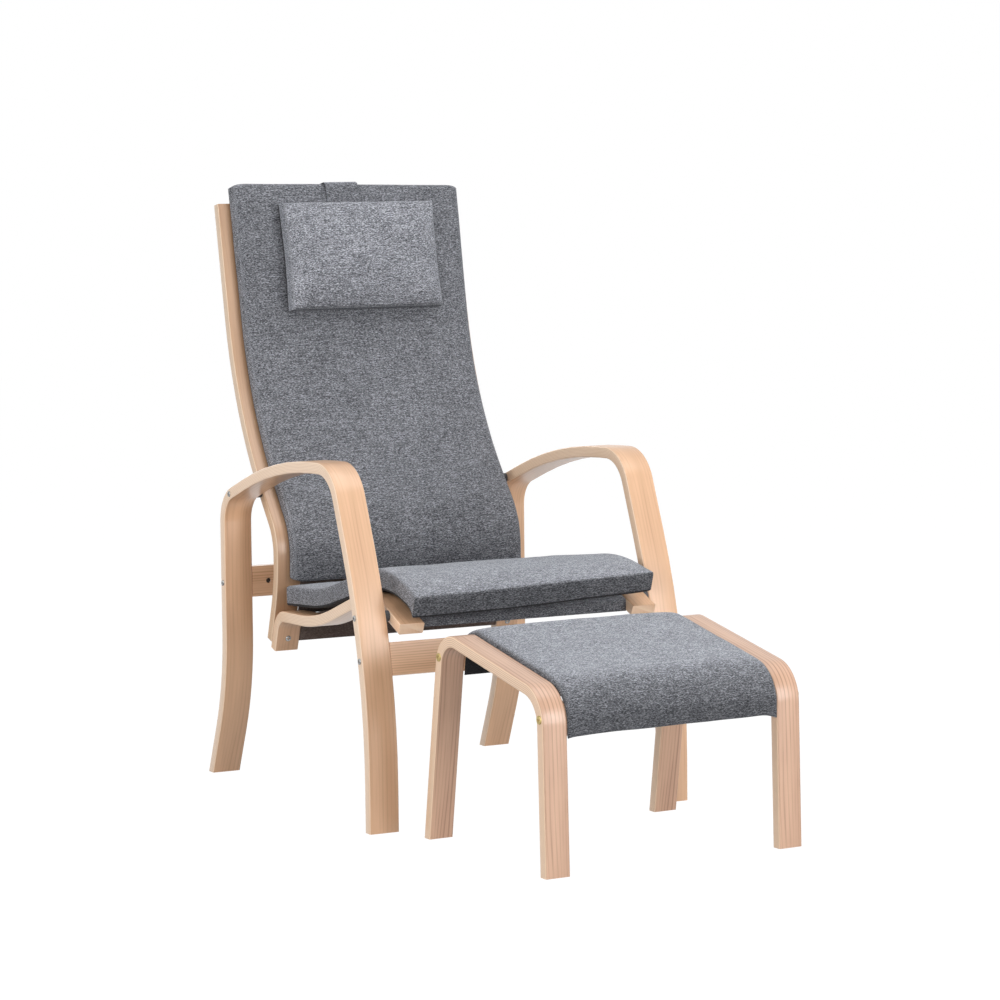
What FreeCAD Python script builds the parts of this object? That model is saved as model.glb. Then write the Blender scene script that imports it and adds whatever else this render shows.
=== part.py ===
import FreeCAD, Part
import math
import os

# Bentwood lounge chair with a headrest pillow and a matching footstool.
# Millimetres. The chair faces -Y, X runs across it and Z is up from the floor.
# While the pieces are made, Y is zero at the front face of the chair's front feet.

# Chair, overall
overall_width = 650.0
arm_behind_seat = 163.0
arm_height = 645.0
arm_strip_width = 57.0
arm_strip_thickness = 21.0

# Seat and back rails, bent from one size of strip
rail_gap = 8.0
rail_width = 48.0
rail_thickness = 21.0
seat_front_setback = 3.0
seat_length = 569.0
seat_hook_height = 260.0
seat_rise = 161.0
hook_lean_share = 0.325
back_foot_height = 270.0
back_rise = 831.0
back_reach = 261.0
lumbar_setback = 38.5

# Cross rails of the chair
cross_rail_height = 59.0
cross_rail_thickness = 19.0
front_cross_rail_height = 304.0
rear_cross_rail_height = 379.0

# Bars between the rails, and the slings that they carry
bar_thickness = 15.0
bar_inset = 3.0
seat_bar_depth = 56.0
seat_bar_setback = 30.0
hook_bar_height = 44.0
hook_bar_lift = 14.0
back_bar_height = 48.0
back_bar_drop = 22.0
sling_thickness = 2.0
sling_ease = 0.3
seat_sling_front_dip = 9.0
seat_sling_rear_dip = 13.0

# Cushions
cushion_side_inset = 17.0
cushion_ease = 0.4
seat_cushion_thickness = 38.0
seat_cushion_front_overhang = 17.0
back_cushion_thickness = 33.0
back_cushion_shift = 6.0
back_cushion_top_rise = 37.0
back_cushion_foot_rise = 124.0
cushion_corner = 11.0
cushion_end_draw = 7.0

# Headrest pillow, its strap and the counterweight behind the back
pillow_width = 332.0
pillow_height = 216.0
pillow_thickness = 50.0
pillow_drop = 5.0
pillow_shift = 10.0
pillow_corner = 13.0
strap_width = 70.0
strap_thickness = 2.0
strap_tail = 96.0
strap_shift = 3.0
counterweight_height = 110.0
counterweight_thickness = 16.0
counterweight_width = 90.0
counterweight_corner = 5.0

# Connector bolts and their nuts
bolt_radius = 3.0
bolt_head_radius = 5.6
bolt_head_height = 3.6
bolt_head_sink = 1.6
bolt_head_round_share = 0.4
bolt_socket_radius = 2.2
bolt_socket_depth = 2.2
bolt_clearance = 0.2
nut_clearance = 0.05
insert_radius = 5.0
insert_length = 16.0
barrel_radius = 5.0
barrel_length = 15.0
barrel_setback = 34.0
bolt_overrun = 4.0
spacer_radius = 10.0
hook_bolt_rise = 24.0
dowel_radius = 4.0
dowel_length = 36.0
dowel_spread_share = 0.24
dowel_end_gap = 1.0

# Footstool
stool_width = 514.0
stool_depth = 418.0
stool_height = 379.0
stool_strip_width = 47.0
stool_strip_thickness = 20.0
stool_gap_ahead = 477.0
stool_offset = 21.0
stool_turn_degrees = 2.53
stool_rail_thickness = 17.0
stool_rail_inset = 2.5
stool_front_rail_drop = 91.0
stool_front_rail_height = 53.0
stool_rear_rail_drop = 35.0
stool_rear_rail_height = 44.0
stool_front_bolt_rise = 29.0
stool_rear_bolt_rise = 27.0
stool_cover_thickness = 2.0
stool_cover_proud = 5.0
stool_pad_thickness = 21.0
stool_rear_rail_share = 0.80
stool_pad_front_share = 0.13
stool_pad_rear_share = 0.77
stool_cover_hang = 4.0
stool_side_gap = 0.3
stool_lining_thickness = 1.6
stool_head_radius = 7.5
stool_head_height = 3.2

# Overrun of a cutting shape past the solid that it cuts, and the shortest straight run kept
overrun = 5.0
shortest_run = 0.005
line_samples = 800

# Outlines as shares. Each corner is (share of depth, share of height, radius as a share of height).
# The arm frame runs from the rear foot over the armrest to the front foot.
arm_outline_shares = [
    (1.000, 0.000, 0.000),
    (0.893, 0.283, 0.720),
    (0.894, 0.850, 0.115),
    (0.539, 0.989, 1.640),
    (0.198, 1.000, 0.136),
    (0.000, 0.458, 1.680),
    (0.000, 0.000, 0.000),
]
# The seat rail's top face runs from the hook at the rear to the front end.
seat_outline_shares = [
    (1.000, 0.000, 0.000),
    (0.958, 0.457, 0.310),
    (0.641, 0.487, 2.900),
    (0.221, 1.000, 1.090),
    (0.000, 0.681, 0.000),
]
# The back rail's front face above the lumbar bend, counted from the top downwards.
back_outline_shares = [
    (1.000, 1.000, 0.000),
    (0.686, 0.515, 0.909),
    (0.000, 0.2485, 0.137),
]
back_knee_radius_share = 0.40
# The seat cushion's underside, counted from the front edge to the rear edge,
# with the height as a share of the seat rail's rise.
seat_cushion_shares = [
    (0.000, 0.807, 0.000),
    (0.2175, 1.048, 1.740),
    (0.715, 0.575, 3.000),
    (1.000, 0.512, 0.000),
]
# The footstool frame runs from the rear foot over the top to the front foot.
stool_outline_shares = [
    (1.000, 0.000, 0.000),
    (0.864, 1.000, 0.150),
    (0.022, 0.815, 0.185),
    (0.000, 0.000, 0.000),
]
# Stations across a cushion: (share of half width, share of thickness, share of the end draw)
cushion_station_shares = [
    (-1.000, 0.44, 1.00),
    (-0.985, 0.72, 0.55),
    (-0.945, 0.93, 0.15),
    (-0.860, 1.00, 0.00),
    (0.860, 1.00, 0.00),
    (0.945, 0.93, 0.15),
    (0.985, 0.72, 0.55),
    (1.000, 0.44, 1.00),
]
# Stations across the footstool's pad: (share of half width, share of how far it stands proud)
pad_station_shares = [
    (-1.00, 0.05),
    (-0.93, 0.55),
    (-0.55, 0.95),
    (0.00, 1.00),
    (0.55, 0.95),
    (0.93, 0.55),
    (1.00, 0.05),
]

# Values that follow from the sizes above
arm_outer = overall_width / 2
arm_inner = arm_outer - arm_strip_width
rail_outer = arm_inner - rail_gap
rail_inner = rail_outer - rail_width
rail_middle = (rail_outer + rail_inner) / 2
hook_rear = seat_front_setback + seat_length
arm_depth = hook_rear + arm_behind_seat
cushion_width = 2 * (rail_outer - cushion_side_inset)
lumbar_front = hook_rear - lumbar_setback
stool_outer = stool_width / 2
stool_inner = stool_outer - stool_strip_width
stool_front_rail_high = stool_height - stool_front_rail_drop
stool_front_rail_low = stool_front_rail_high - stool_front_rail_height
stool_rear_rail_high = stool_height - stool_rear_rail_drop
stool_rear_rail_low = stool_rear_rail_high - stool_rear_rail_height
x_axis = FreeCAD.Vector(1, 0, 0)
z_axis = FreeCAD.Vector(0, 0, 1)


# Paths: a corner is (y, z, radius), and a strip's material lies left of the way the path runs

def corners_from_shares(shares, start_y, depth, start_z, height):
    return [(start_y + depth * y, start_z + height * z, height * r) for y, z, r in shares]


def direction(a, b):
    length = math.hypot(b[0] - a[0], b[1] - a[1])
    return (b[0] - a[0]) / length, (b[1] - a[1]) / length


def turn_half_tangent(before, after):
    cosine = before[0] * after[0] + before[1] * after[1]
    cosine = max(-1.0, min(1.0, cosine))
    return math.tan(math.acos(cosine) / 2)


def fitted(corners):
    # Shortens a radius where its arc would not leave room for the next one
    radii = [corner[2] for corner in corners]
    for _ in corners:
        for i in range(len(corners) - 1):
            room = math.hypot(corners[i + 1][0] - corners[i][0], corners[i + 1][1] - corners[i][1])
            reach = 0
            for j in (i, i + 1):
                if 0 < j < len(corners) - 1:
                    before = direction(corners[j - 1], corners[j])
                    after = direction(corners[j], corners[j + 1])
                    reach += radii[j] * turn_half_tangent(before, after)
            if reach > room:
                radii[i] *= room / reach
                radii[i + 1] *= room / reach
    return [(corner[0], corner[1], radius) for corner, radius in zip(corners, radii)]


def offset_line(corners, distance):
    moved = []
    last = len(corners) - 1
    for i, (y, z, radius) in enumerate(corners):
        before = direction(corners[max(i - 1, 0)], corners[max(i, 1)])
        after = direction(corners[min(i, last - 1)], corners[min(i + 1, last)])
        if i == 0:
            before = after
        if i == last:
            after = before
        cross = before[0] * after[1] - before[1] * after[0]
        spread = 1 + before[0] * after[0] + before[1] * after[1]
        step_y = -(before[1] + after[1]) / spread * distance
        step_z = (before[0] + after[0]) / spread * distance
        if radius > 0:
            radius = max(radius - math.copysign(distance, cross * distance), 0)
        moved.append((y + step_y, z + step_z, radius))
    return moved


def arc_points(previous, corner, following):
    before = direction(previous, corner)
    after = direction(corner, following)
    reach = corner[2] * turn_half_tangent(before, after)
    start = (corner[0] - before[0] * reach, corner[1] - before[1] * reach)
    end = (corner[0] + after[0] * reach, corner[1] + after[1] * reach)
    inward = direction((0, 0), (after[0] - before[0], after[1] - before[1]))
    sagitta = math.hypot(corner[2], reach) - corner[2]
    middle = (corner[0] + inward[0] * sagitta, corner[1] + inward[1] * sagitta)
    return start, middle, end


def path_edges(corners, x, closed):
    def at(point):
        return FreeCAD.Vector(x, point[0], point[1])

    count = len(corners)
    turns = []
    for i, corner in enumerate(corners):
        straight = corner[2] <= 0 or (not closed and i in (0, count - 1))
        if straight:
            turns.append((corner[:2], None, corner[:2]))
        else:
            turns.append(arc_points(corners[i - 1], corner, corners[(i + 1) % count]))
    edges = []
    for i in range(count if closed else count - 1):
        start = turns[i]
        following = turns[(i + 1) % count]
        if start[1]:
            edges.append(Part.Arc(at(start[0]), at(start[1]), at(start[2])).toShape())
        gap = at(following[0]) - at(start[2])
        if gap.Length > shortest_run:
            edges.append(Part.LineSegment(at(start[2]), at(following[0])).toShape())
    return edges


def band_corners(corners, near, far, end_radius=0):
    near_line = offset_line(corners, near)
    far_line = offset_line(corners, far)
    if end_radius:
        for line in (near_line, far_line):
            for i in (0, -1):
                line[i] = (line[i][0], line[i][1], end_radius)
    return near_line + far_line[::-1]


def band(corners, near, far, low_x, high_x):
    wire = Part.Wire(path_edges(band_corners(corners, near, far), low_x, True))
    return Part.Face(wire).extrude(FreeCAD.Vector(high_x - low_x, 0, 0))


def middle_line(corners, thickness):
    return Part.Wire(path_edges(offset_line(corners, thickness / 2), 0, False))


def crossing(first, second):
    point = first.distToShape(second)[1][0][0]
    return point.y, point.z


def at_height(line, height, from_end):
    # The place on the rear leg, or on the front leg with from_end, and the leg's direction there
    points = line.discretize(Number=line_samples)
    if from_end:
        points = points[::-1]
    leg = range(len(points) // 2)
    nearest = min(leg, key=lambda i: abs(points[i].z - height))
    step = (points[nearest + 1] - points[nearest]).normalize()
    return (points[nearest].y, height), (step.y, step.z)


def slab(low_y, high_y, low_z, high_z, half_width):
    corner = FreeCAD.Vector(-half_width, low_y, low_z)
    return Part.makeBox(2 * half_width, high_y - low_y, high_z - low_z, corner)


def on_floor(frame, depth):
    # Takes off what a leaning foot has below the floor
    return frame.cut(slab(-depth, 2 * depth, -arm_strip_width, 0, arm_outer))


def mirrored(shape):
    return shape.mirror(FreeCAD.Vector(0, 0, 0), x_axis)


def both_sides(shapes):
    return shapes + [mirrored(shape) for shape in shapes]


# Lines that the pieces follow
arm_line = fitted(corners_from_shares(arm_outline_shares, 0, arm_depth, 0, arm_height))
seat_line = corners_from_shares(
    seat_outline_shares, seat_front_setback, seat_length, seat_hook_height, seat_rise)


def on_hook_face(height):
    return hook_rear - (height - seat_hook_height) * hook_lean_share


hook_bend_height = seat_line[1][1]
seat_line[1] = (on_hook_face(hook_bend_height), hook_bend_height, seat_line[1][2])
seat_line = fitted(seat_line)
knee_height = seat_hook_height + lumbar_setback / hook_lean_share
back_line = corners_from_shares(
    back_outline_shares, lumbar_front, back_reach, back_foot_height, back_rise)
back_line.append((lumbar_front, knee_height, back_rise * back_knee_radius_share))
back_line.append((on_hook_face(back_foot_height), back_foot_height, 0))
back_line = fitted(back_line)
stool_line = fitted(corners_from_shares(stool_outline_shares, 0, stool_depth, 0, stool_height))

arm_middle = middle_line(arm_line, arm_strip_thickness)
seat_middle = middle_line(seat_line, rail_thickness)
back_middle = middle_line(back_line, rail_thickness)
stool_middle = middle_line(stool_line, stool_strip_thickness)

# Places of the bolts, each (y, z)
arm_back_spot = crossing(arm_middle, back_middle)
arm_seat_spot = crossing(arm_middle, seat_middle)
rear_rail_spot, rear_rail_way = at_height(arm_middle, rear_cross_rail_height, False)
front_rail_spot, front_rail_way = at_height(arm_middle, front_cross_rail_height, True)
stool_front_spot, _ = at_height(stool_middle, stool_front_rail_low + stool_front_bolt_rise, True)
stool_rear_spot, _ = at_height(stool_middle, stool_rear_rail_low + stool_rear_bolt_rise, False)


# Fasteners

def cylinder_x(radius, start_x, end_x, spot):
    centre = FreeCAD.Vector(start_x, spot[0], spot[1])
    way = FreeCAD.Vector(math.copysign(1, end_x - start_x), 0, 0)
    return Part.makeCylinder(radius, abs(end_x - start_x), centre, way)


def bolt_along(start, way, grip, head_radius, head_height):
    # A pan head with a hexagon socket, standing on start, and a shank that runs along way
    head = Part.makeCylinder(head_radius, head_height, start - way * head_height, way)
    crown = start - way * head_height
    near = head_height / 2
    rims = [e for e in head.Edges if e.isClosed() and e.CenterOfMass.distanceToPoint(crown) < near]
    head = head.makeFillet(head_height * bolt_head_round_share, rims)
    shank = Part.makeCylinder(bolt_radius, grip, start, way)
    flat = Part.makePolygon([
        FreeCAD.Vector(math.cos(math.pi * k / 3), math.sin(math.pi * k / 3), 0) * bolt_socket_radius
        for k in range(7)])
    socket = Part.Face(Part.Wire(flat)).extrude(z_axis * (bolt_socket_depth + overrun))
    turn = FreeCAD.Rotation(z_axis, way)
    socket.Placement = FreeCAD.Placement(start - way * (head_height + overrun), turn)
    return head.fuse(shank).removeSplitter().cut(socket)


def side_bolt(outer_x, end_x, spot, head_radius, head_height):
    start = FreeCAD.Vector(-outer_x + bolt_head_sink, spot[0], spot[1])
    return bolt_along(start, x_axis, outer_x - bolt_head_sink - end_x, head_radius, head_height)


def side_bolt_hole(outer_x, end_x, spot, head_radius):
    hole = cylinder_x(bolt_radius + bolt_clearance, -outer_x - overrun, -end_x, spot)
    seat = cylinder_x(head_radius + bolt_clearance, -outer_x - overrun, -outer_x + bolt_head_sink, spot)
    return hole.fuse(seat)


def barrel_nut(inner_x, spot, way):
    # Its axis crosses the rail's thickness
    centre = FreeCAD.Vector(-inner_x + barrel_setback, spot[0], spot[1])
    start = centre - way * (barrel_length / 2)
    nut = Part.makeCylinder(barrel_radius, barrel_length, start, way)
    bore = cylinder_x(bolt_radius + nut_clearance, centre.x - 2 * barrel_radius,
                      centre.x + 2 * barrel_radius, spot)
    return nut.cut(bore)


def barrel_hole(inner_x, spot, way):
    centre = FreeCAD.Vector(-inner_x + barrel_setback, spot[0], spot[1])
    start = centre - way * (barrel_length / 2)
    return Part.makeCylinder(barrel_radius + nut_clearance, barrel_length + overrun, start, way)


def across(way):
    # The rail's thickness direction, pointing to the rear
    normal = FreeCAD.Vector(0, -way[1], way[0])
    return normal if normal.y > 0 else normal * -1


def insert_nut(spot):
    nut = cylinder_x(insert_radius, -rail_outer, -rail_outer + insert_length, spot)
    return nut.cut(cylinder_x(bolt_radius + nut_clearance, -rail_outer - overrun,
                              -rail_outer + insert_length + overrun, spot))


def insert_hole(spot):
    return cylinder_x(insert_radius + nut_clearance, -rail_outer - overrun,
                      -rail_outer + insert_length + bolt_overrun, spot)


# Chair: arm frames and cross rails

insert_bolt_end = rail_outer - insert_length - bolt_overrun / 2
barrel_bolt_end = arm_inner - barrel_setback - barrel_radius - bolt_overrun
arm_bolts = {
    "arm_to_back_bolts": (arm_back_spot, insert_bolt_end),
    "arm_to_seat_bolts": (arm_seat_spot, insert_bolt_end),
    "rear_rail_bolts": (rear_rail_spot, barrel_bolt_end),
    "front_rail_bolts": (front_rail_spot, barrel_bolt_end),
}


def arm_frame():
    frame = on_floor(band(arm_line, 0, arm_strip_thickness, -arm_outer, -arm_inner), arm_depth)
    for spot, end_x in arm_bolts.values():
        frame = frame.cut(side_bolt_hole(arm_outer, end_x, spot, bolt_head_radius))
    return frame


def cross_rail(spot, way, face):
    # A straight board that leans with the leg it is bolted to. Its barrel nuts go in from the
    # rear where face is 1 and from the front where it is -1.
    half = cross_rail_height / 2
    lift = 1 if way[1] > 0 else -1
    low = (spot[0] - way[0] * half * lift, spot[1] - way[1] * half * lift, 0)
    high = (spot[0] + way[0] * half * lift, spot[1] + way[1] * half * lift, 0)
    rail = band([low, high], -cross_rail_thickness / 2, cross_rail_thickness / 2, -arm_inner, arm_inner)
    cutters = [
        cylinder_x(bolt_radius + bolt_clearance, -arm_inner - overrun, -barrel_bolt_end + overrun, spot),
        barrel_hole(arm_inner, spot, across(way) * face),
    ]
    return rail.cut(both_sides(cutters))


# Chair: seat and back rails, their bars and slings

hook_height = seat_hook_height + hook_bolt_rise
hook_normal = FreeCAD.Vector(0, 1, hook_lean_share).normalize()
hook_front = FreeCAD.Vector(-rail_middle, on_hook_face(hook_height), hook_height)
hook_front = hook_front - hook_normal * (rail_thickness - bolt_head_sink)
hook_grip = 2 * (rail_thickness - bolt_head_sink)


def hook_hole():
    way = hook_normal
    hole = Part.makeCylinder(bolt_radius + bolt_clearance, hook_grip + 2 * overrun,
                             hook_front - way * overrun, way)
    head = Part.makeCylinder(bolt_head_radius + bolt_clearance, overrun, hook_front - way * overrun, way)
    nut = Part.makeCylinder(bolt_head_radius + bolt_clearance, overrun, hook_front + way * hook_grip, way)
    return hole.fuse([head, nut])


def hook_nut():
    start = hook_front + hook_normal * hook_grip
    nut = Part.makeCylinder(bolt_head_radius, bolt_head_height, start, hook_normal)
    bore = Part.makeCylinder(bolt_radius + nut_clearance, bolt_head_height + overrun, start, hook_normal)
    return nut.cut(bore)


seat_bar_rear = seat_bar_setback + seat_bar_depth
hook_bar_top = seat_hook_height + hook_bar_lift + hook_bar_height
back_top = back_foot_height + back_rise
lumbar_height = back_line[2][1]


def bar_boxes(margin):
    # Where each bar is cut from the strip: low and high Y, low and high Z, grown by a margin
    wide = back_reach + seat_length
    rear = on_hook_face(hook_bar_top) - rail_thickness - overrun
    high = back_top - back_bar_drop
    middle = (high + lumbar_height + back_bar_height) / 2
    above_seat = seat_hook_height + 2 * seat_rise
    boxes = {
        "seat_front_bar": (seat_bar_setback, seat_bar_rear, seat_hook_height, above_seat),
        "seat_rear_bar": (rear, hook_rear + overrun, seat_hook_height + hook_bar_lift, hook_bar_top),
        "back_top_bar": (0, wide, high - back_bar_height, high),
        "back_middle_bar": (0, wide, middle - back_bar_height, middle),
        "back_lower_bar": (0, wide, lumbar_height - back_bar_height, lumbar_height),
    }
    return {name: (a - margin, b + margin, c - margin, d + margin) for name, (a, b, c, d) in boxes.items()}


def bar_shape(name, margin, half_width):
    line = seat_line if name.startswith("seat") else back_line
    strip = band(line, bar_inset - margin, bar_inset + bar_thickness + margin, -half_width, half_width)
    return strip.common(slab(*bar_boxes(margin)[name], half_width))


def bar_dowels(name, radius, extra):
    # Two dowels join each end of a bar to its rail
    box = bar_shape(name, 0, rail_inner).BoundBox
    middle = box.Center
    flat = box.YLength > box.ZLength
    spread = FreeCAD.Vector(0, box.YLength, 0) if flat else FreeCAD.Vector(0, 0, box.ZLength)
    line = seat_line if name.startswith("seat") else back_line
    centre_line = Part.Wire(path_edges(offset_line(line, bar_inset + bar_thickness / 2), 0, False))
    dowels = []
    for side in (-1, 1):
        near = FreeCAD.Vector(0, middle.y, middle.z) + spread * (side * dowel_spread_share)
        point = centre_line.distToShape(Part.Vertex(near))[1][0][0]
        start = -rail_inner - dowel_length / 2 - extra
        dowels.append(cylinder_x(radius, start, start + dowel_length + 2 * extra, (point.y, point.z)))
    return both_sides(dowels)


bar_names = list(bar_boxes(0))


def bar(name):
    return bar_shape(name, 0, rail_inner).cut(bar_dowels(name, dowel_radius + nut_clearance, dowel_end_gap))


def dowel_holes(prefix):
    holes = []
    for name in bar_names:
        if name.startswith(prefix):
            holes += bar_dowels(name, dowel_radius + nut_clearance, dowel_end_gap)[:2]
    return holes


def seat_rail():
    rail = band(seat_line, 0, rail_thickness, -rail_outer, -rail_inner)
    return rail.cut([insert_hole(arm_seat_spot), hook_hole()] + dowel_holes("seat"))


def back_rail():
    rail = band(back_line, 0, rail_thickness, -rail_outer, -rail_inner)
    return rail.cut([insert_hole(arm_back_spot), hook_hole()] + dowel_holes("back"))


sling_half_width = rail_inner - sling_ease
sling_wrap = sling_ease + sling_thickness


def wrapped(name):
    outside = bar_shape(name, sling_wrap, sling_half_width)
    return outside.cut(bar_shape(name, sling_ease, sling_half_width + overrun))


def seat_sling():
    # A flat sheet from the hook bar to the front bar, sewn round the hook bar
    front = (seat_bar_rear, seat_hook_height + seat_rise - seat_sling_front_dip, 0)
    rear = (on_hook_face(hook_bar_top) - seat_sling_rear_dip, hook_bar_top, 0)
    sheet = band([front, rear], 0, sling_thickness, -sling_half_width, sling_half_width)
    sheet = sheet.cut(bar_shape("seat_front_bar", sling_wrap + sling_ease, sling_half_width + overrun))
    sheet = sheet.fuse(wrapped("seat_rear_bar"))
    return sheet.cut(bar_shape("seat_rear_bar", sling_ease, sling_half_width + overrun))


def back_sling():
    sheet = band(back_line, sling_ease, sling_wrap, -sling_half_width, sling_half_width)
    low = bar_boxes(0)["back_lower_bar"][2]
    high = bar_boxes(0)["back_top_bar"][3]
    return sheet.common(slab(0, seat_length + back_reach, low, high, sling_half_width))


# Soft pieces: a cushion is a loft of outlines that thin out towards its sides

def drawn_in(corners, draw):
    # Moves both ends of a line inwards along it
    moved = list(corners)
    for i, neighbour in ((0, 1), (-1, -2)):
        way = direction(corners[i], corners[neighbour])
        moved[i] = (corners[i][0] + way[0] * draw, corners[i][1] + way[1] * draw, 0)
    return moved


def cushion(corners, lift, thickness, half_width, centre_x, corner_radius, end_draw):
    wires = []
    for across_share, thick_share, draw_share in cushion_station_shares:
        x = centre_x + half_width * across_share
        line = drawn_in(corners, end_draw * draw_share)
        thick = thickness * thick_share
        outline = band_corners(line, lift, lift + thick, corner_radius * thick_share)
        wires.append(Part.Wire(path_edges(outline, x, True)))
    return Part.makeLoft(wires, True, True)


seat_cushion_length = lumbar_front - cushion_ease + seat_cushion_front_overhang
seat_cushion_line = fitted(corners_from_shares(
    seat_cushion_shares, -seat_cushion_front_overhang, seat_cushion_length, seat_hook_height, seat_rise))


def seat_cushion():
    return cushion(seat_cushion_line, 0, seat_cushion_thickness, cushion_width / 2, 0,
                   cushion_corner, cushion_end_draw)


def back_cushion_line():
    # The rails' front face from above the hook to past the top, counted upwards
    top, shoulder, lumbar = back_line[0], back_line[1], back_line[2]
    way = direction(shoulder, top)
    past = (top[0] + way[0] * back_cushion_top_rise, top[1] + way[1] * back_cushion_top_rise, 0)
    foot = (lumbar_front, back_foot_height + back_cushion_foot_rise, 0)
    return [foot, lumbar, shoulder, past]


def back_cushion():
    return cushion(fitted(back_cushion_line()), cushion_ease, back_cushion_thickness,
                   cushion_width / 2, back_cushion_shift, cushion_corner, cushion_end_draw)


# The upper back is straight, so the pillow, the strap and the counterweight are set out along it
upper_way = direction(back_line[1], back_line[0])
upper_top = back_line[0]
pillow_back = cushion_ease + back_cushion_thickness + sling_ease


def along_upper(rise, behind):
    # A place on the upper back: rise above the rail's top, and behind the rail's front face
    y = upper_top[0] + upper_way[0] * rise + upper_way[1] * behind
    z = upper_top[1] + upper_way[1] * rise - upper_way[0] * behind
    return y, z, 0


def headrest_pillow():
    line = [along_upper(-pillow_drop - pillow_height, 0), along_upper(-pillow_drop, 0)]
    return cushion(line, pillow_back, pillow_thickness, pillow_width / 2, pillow_shift,
                   pillow_corner, cushion_end_draw)


def headrest_strap():
    # From the pillow's top edge over the cushion and down behind the rails
    over = back_cushion_top_rise + sling_ease
    bend = cushion_corner + sling_ease
    front = -cushion_ease - back_cushion_thickness - sling_ease
    rear = rail_thickness + sling_ease + (counterweight_thickness - strap_thickness) / 2
    line = [
        along_upper(-pillow_drop + sling_ease, front),
        along_upper(over, front)[:2] + (bend,),
        along_upper(over, rear)[:2] + (bend,),
        along_upper(sling_ease - strap_tail, rear),
    ]
    strap = band(line, 0, strap_thickness, -strap_width / 2, strap_width / 2)
    return strap.translate(x_axis * strap_shift)


def headrest_counterweight():
    high = -strap_tail
    line = [along_upper(high - counterweight_height, 0), along_upper(high, 0)]
    outline = band_corners(line, -rail_thickness - sling_ease,
                           -rail_thickness - sling_ease - counterweight_thickness, counterweight_corner)
    wire = Part.Wire(path_edges(outline, strap_shift - counterweight_width / 2, True))
    return Part.Face(wire).extrude(x_axis * counterweight_width)


# Footstool, made square to the chair with its front at Y zero and set in place afterwards

stool_bolt_end = stool_inner - barrel_setback - barrel_radius - bolt_overrun
stool_spots = {
    "front": (stool_front_spot, stool_front_rail_low, stool_front_rail_high, 0, stool_depth / 2),
    "rear": (stool_rear_spot, stool_rear_rail_low, stool_rear_rail_high,
             stool_depth * stool_rear_rail_share, stool_depth),
}


def stool_frame():
    frame = on_floor(band(stool_line, 0, stool_strip_thickness, -stool_outer, -stool_inner), stool_depth)
    for spot, *_ in stool_spots.values():
        frame = frame.cut(side_bolt_hole(stool_outer, stool_bolt_end, spot, stool_head_radius))
    return frame


def upright_barrel(radius, spot):
    start = FreeCAD.Vector(-stool_inner + barrel_setback, spot[0], spot[1] - barrel_length / 2)
    return Part.makeCylinder(radius, barrel_length, start, z_axis)


def stool_rail(end):
    spot, low, high, near, far = stool_spots[end]
    strip = band(stool_line, stool_rail_inset, stool_rail_inset + stool_rail_thickness,
                 -stool_inner, stool_inner)
    rail = strip.common(slab(near, far, low, high, stool_inner))
    hole = cylinder_x(bolt_radius + bolt_clearance, -stool_inner - overrun, -stool_bolt_end + overrun, spot)
    return rail.cut(both_sides([hole, upright_barrel(barrel_radius + nut_clearance, spot)]))


def stool_barrel(spot):
    bore = cylinder_x(bolt_radius + nut_clearance, -stool_inner, -stool_bolt_end + overrun, spot)
    return upright_barrel(barrel_radius, spot).cut(bore)


def stool_cushion():
    # A cover that wraps both rails, thick with padding between them and proud in the middle
    under = stool_rail_inset - stool_side_gap
    wires = []
    half = stool_inner - stool_side_gap
    for across_share, proud_share in pad_station_shares:
        x = half * across_share
        outline = band_corners(stool_line, -stool_cover_proud * proud_share, under)
        wires.append(Part.Wire(path_edges(outline, x, True)))
    cover = Part.makeLoft(wires, True, True)
    middle = stool_depth / 2
    front_hem = stool_front_rail_low - stool_cover_hang
    rear_hem = stool_rear_rail_low - stool_cover_hang
    cover = cover.cut(slab(-stool_depth, middle, -overrun, front_hem, stool_outer))
    cover = cover.cut(slab(middle, stool_depth * 2, -overrun, rear_hem, stool_outer))
    padding = band(stool_line, under - stool_cover_thickness, stool_pad_thickness, -half, half)
    padding = padding.common(slab(stool_depth * stool_pad_front_share, stool_depth * stool_pad_rear_share,
                                  stool_front_rail_low, stool_height, half))
    return cover.fuse(padding).removeSplitter()


def stool_lining():
    # Dark cloth under the padding, turned down over the rear rail's inner face
    half = stool_inner - stool_side_gap
    under = stool_pad_thickness + stool_side_gap
    sheet = band(stool_line, under, under + stool_lining_thickness, -half, half)
    low = min(stool_front_rail_high, stool_rear_rail_low)
    near = stool_depth * stool_pad_front_share
    rear = slab(near, stool_depth, low - stool_cover_hang, stool_height, half)
    return sheet.common(rear)


def stool_bolt(spot):
    return side_bolt(stool_outer, stool_bolt_end, spot, stool_head_radius, stool_head_height)


# All the pieces, by name

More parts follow.
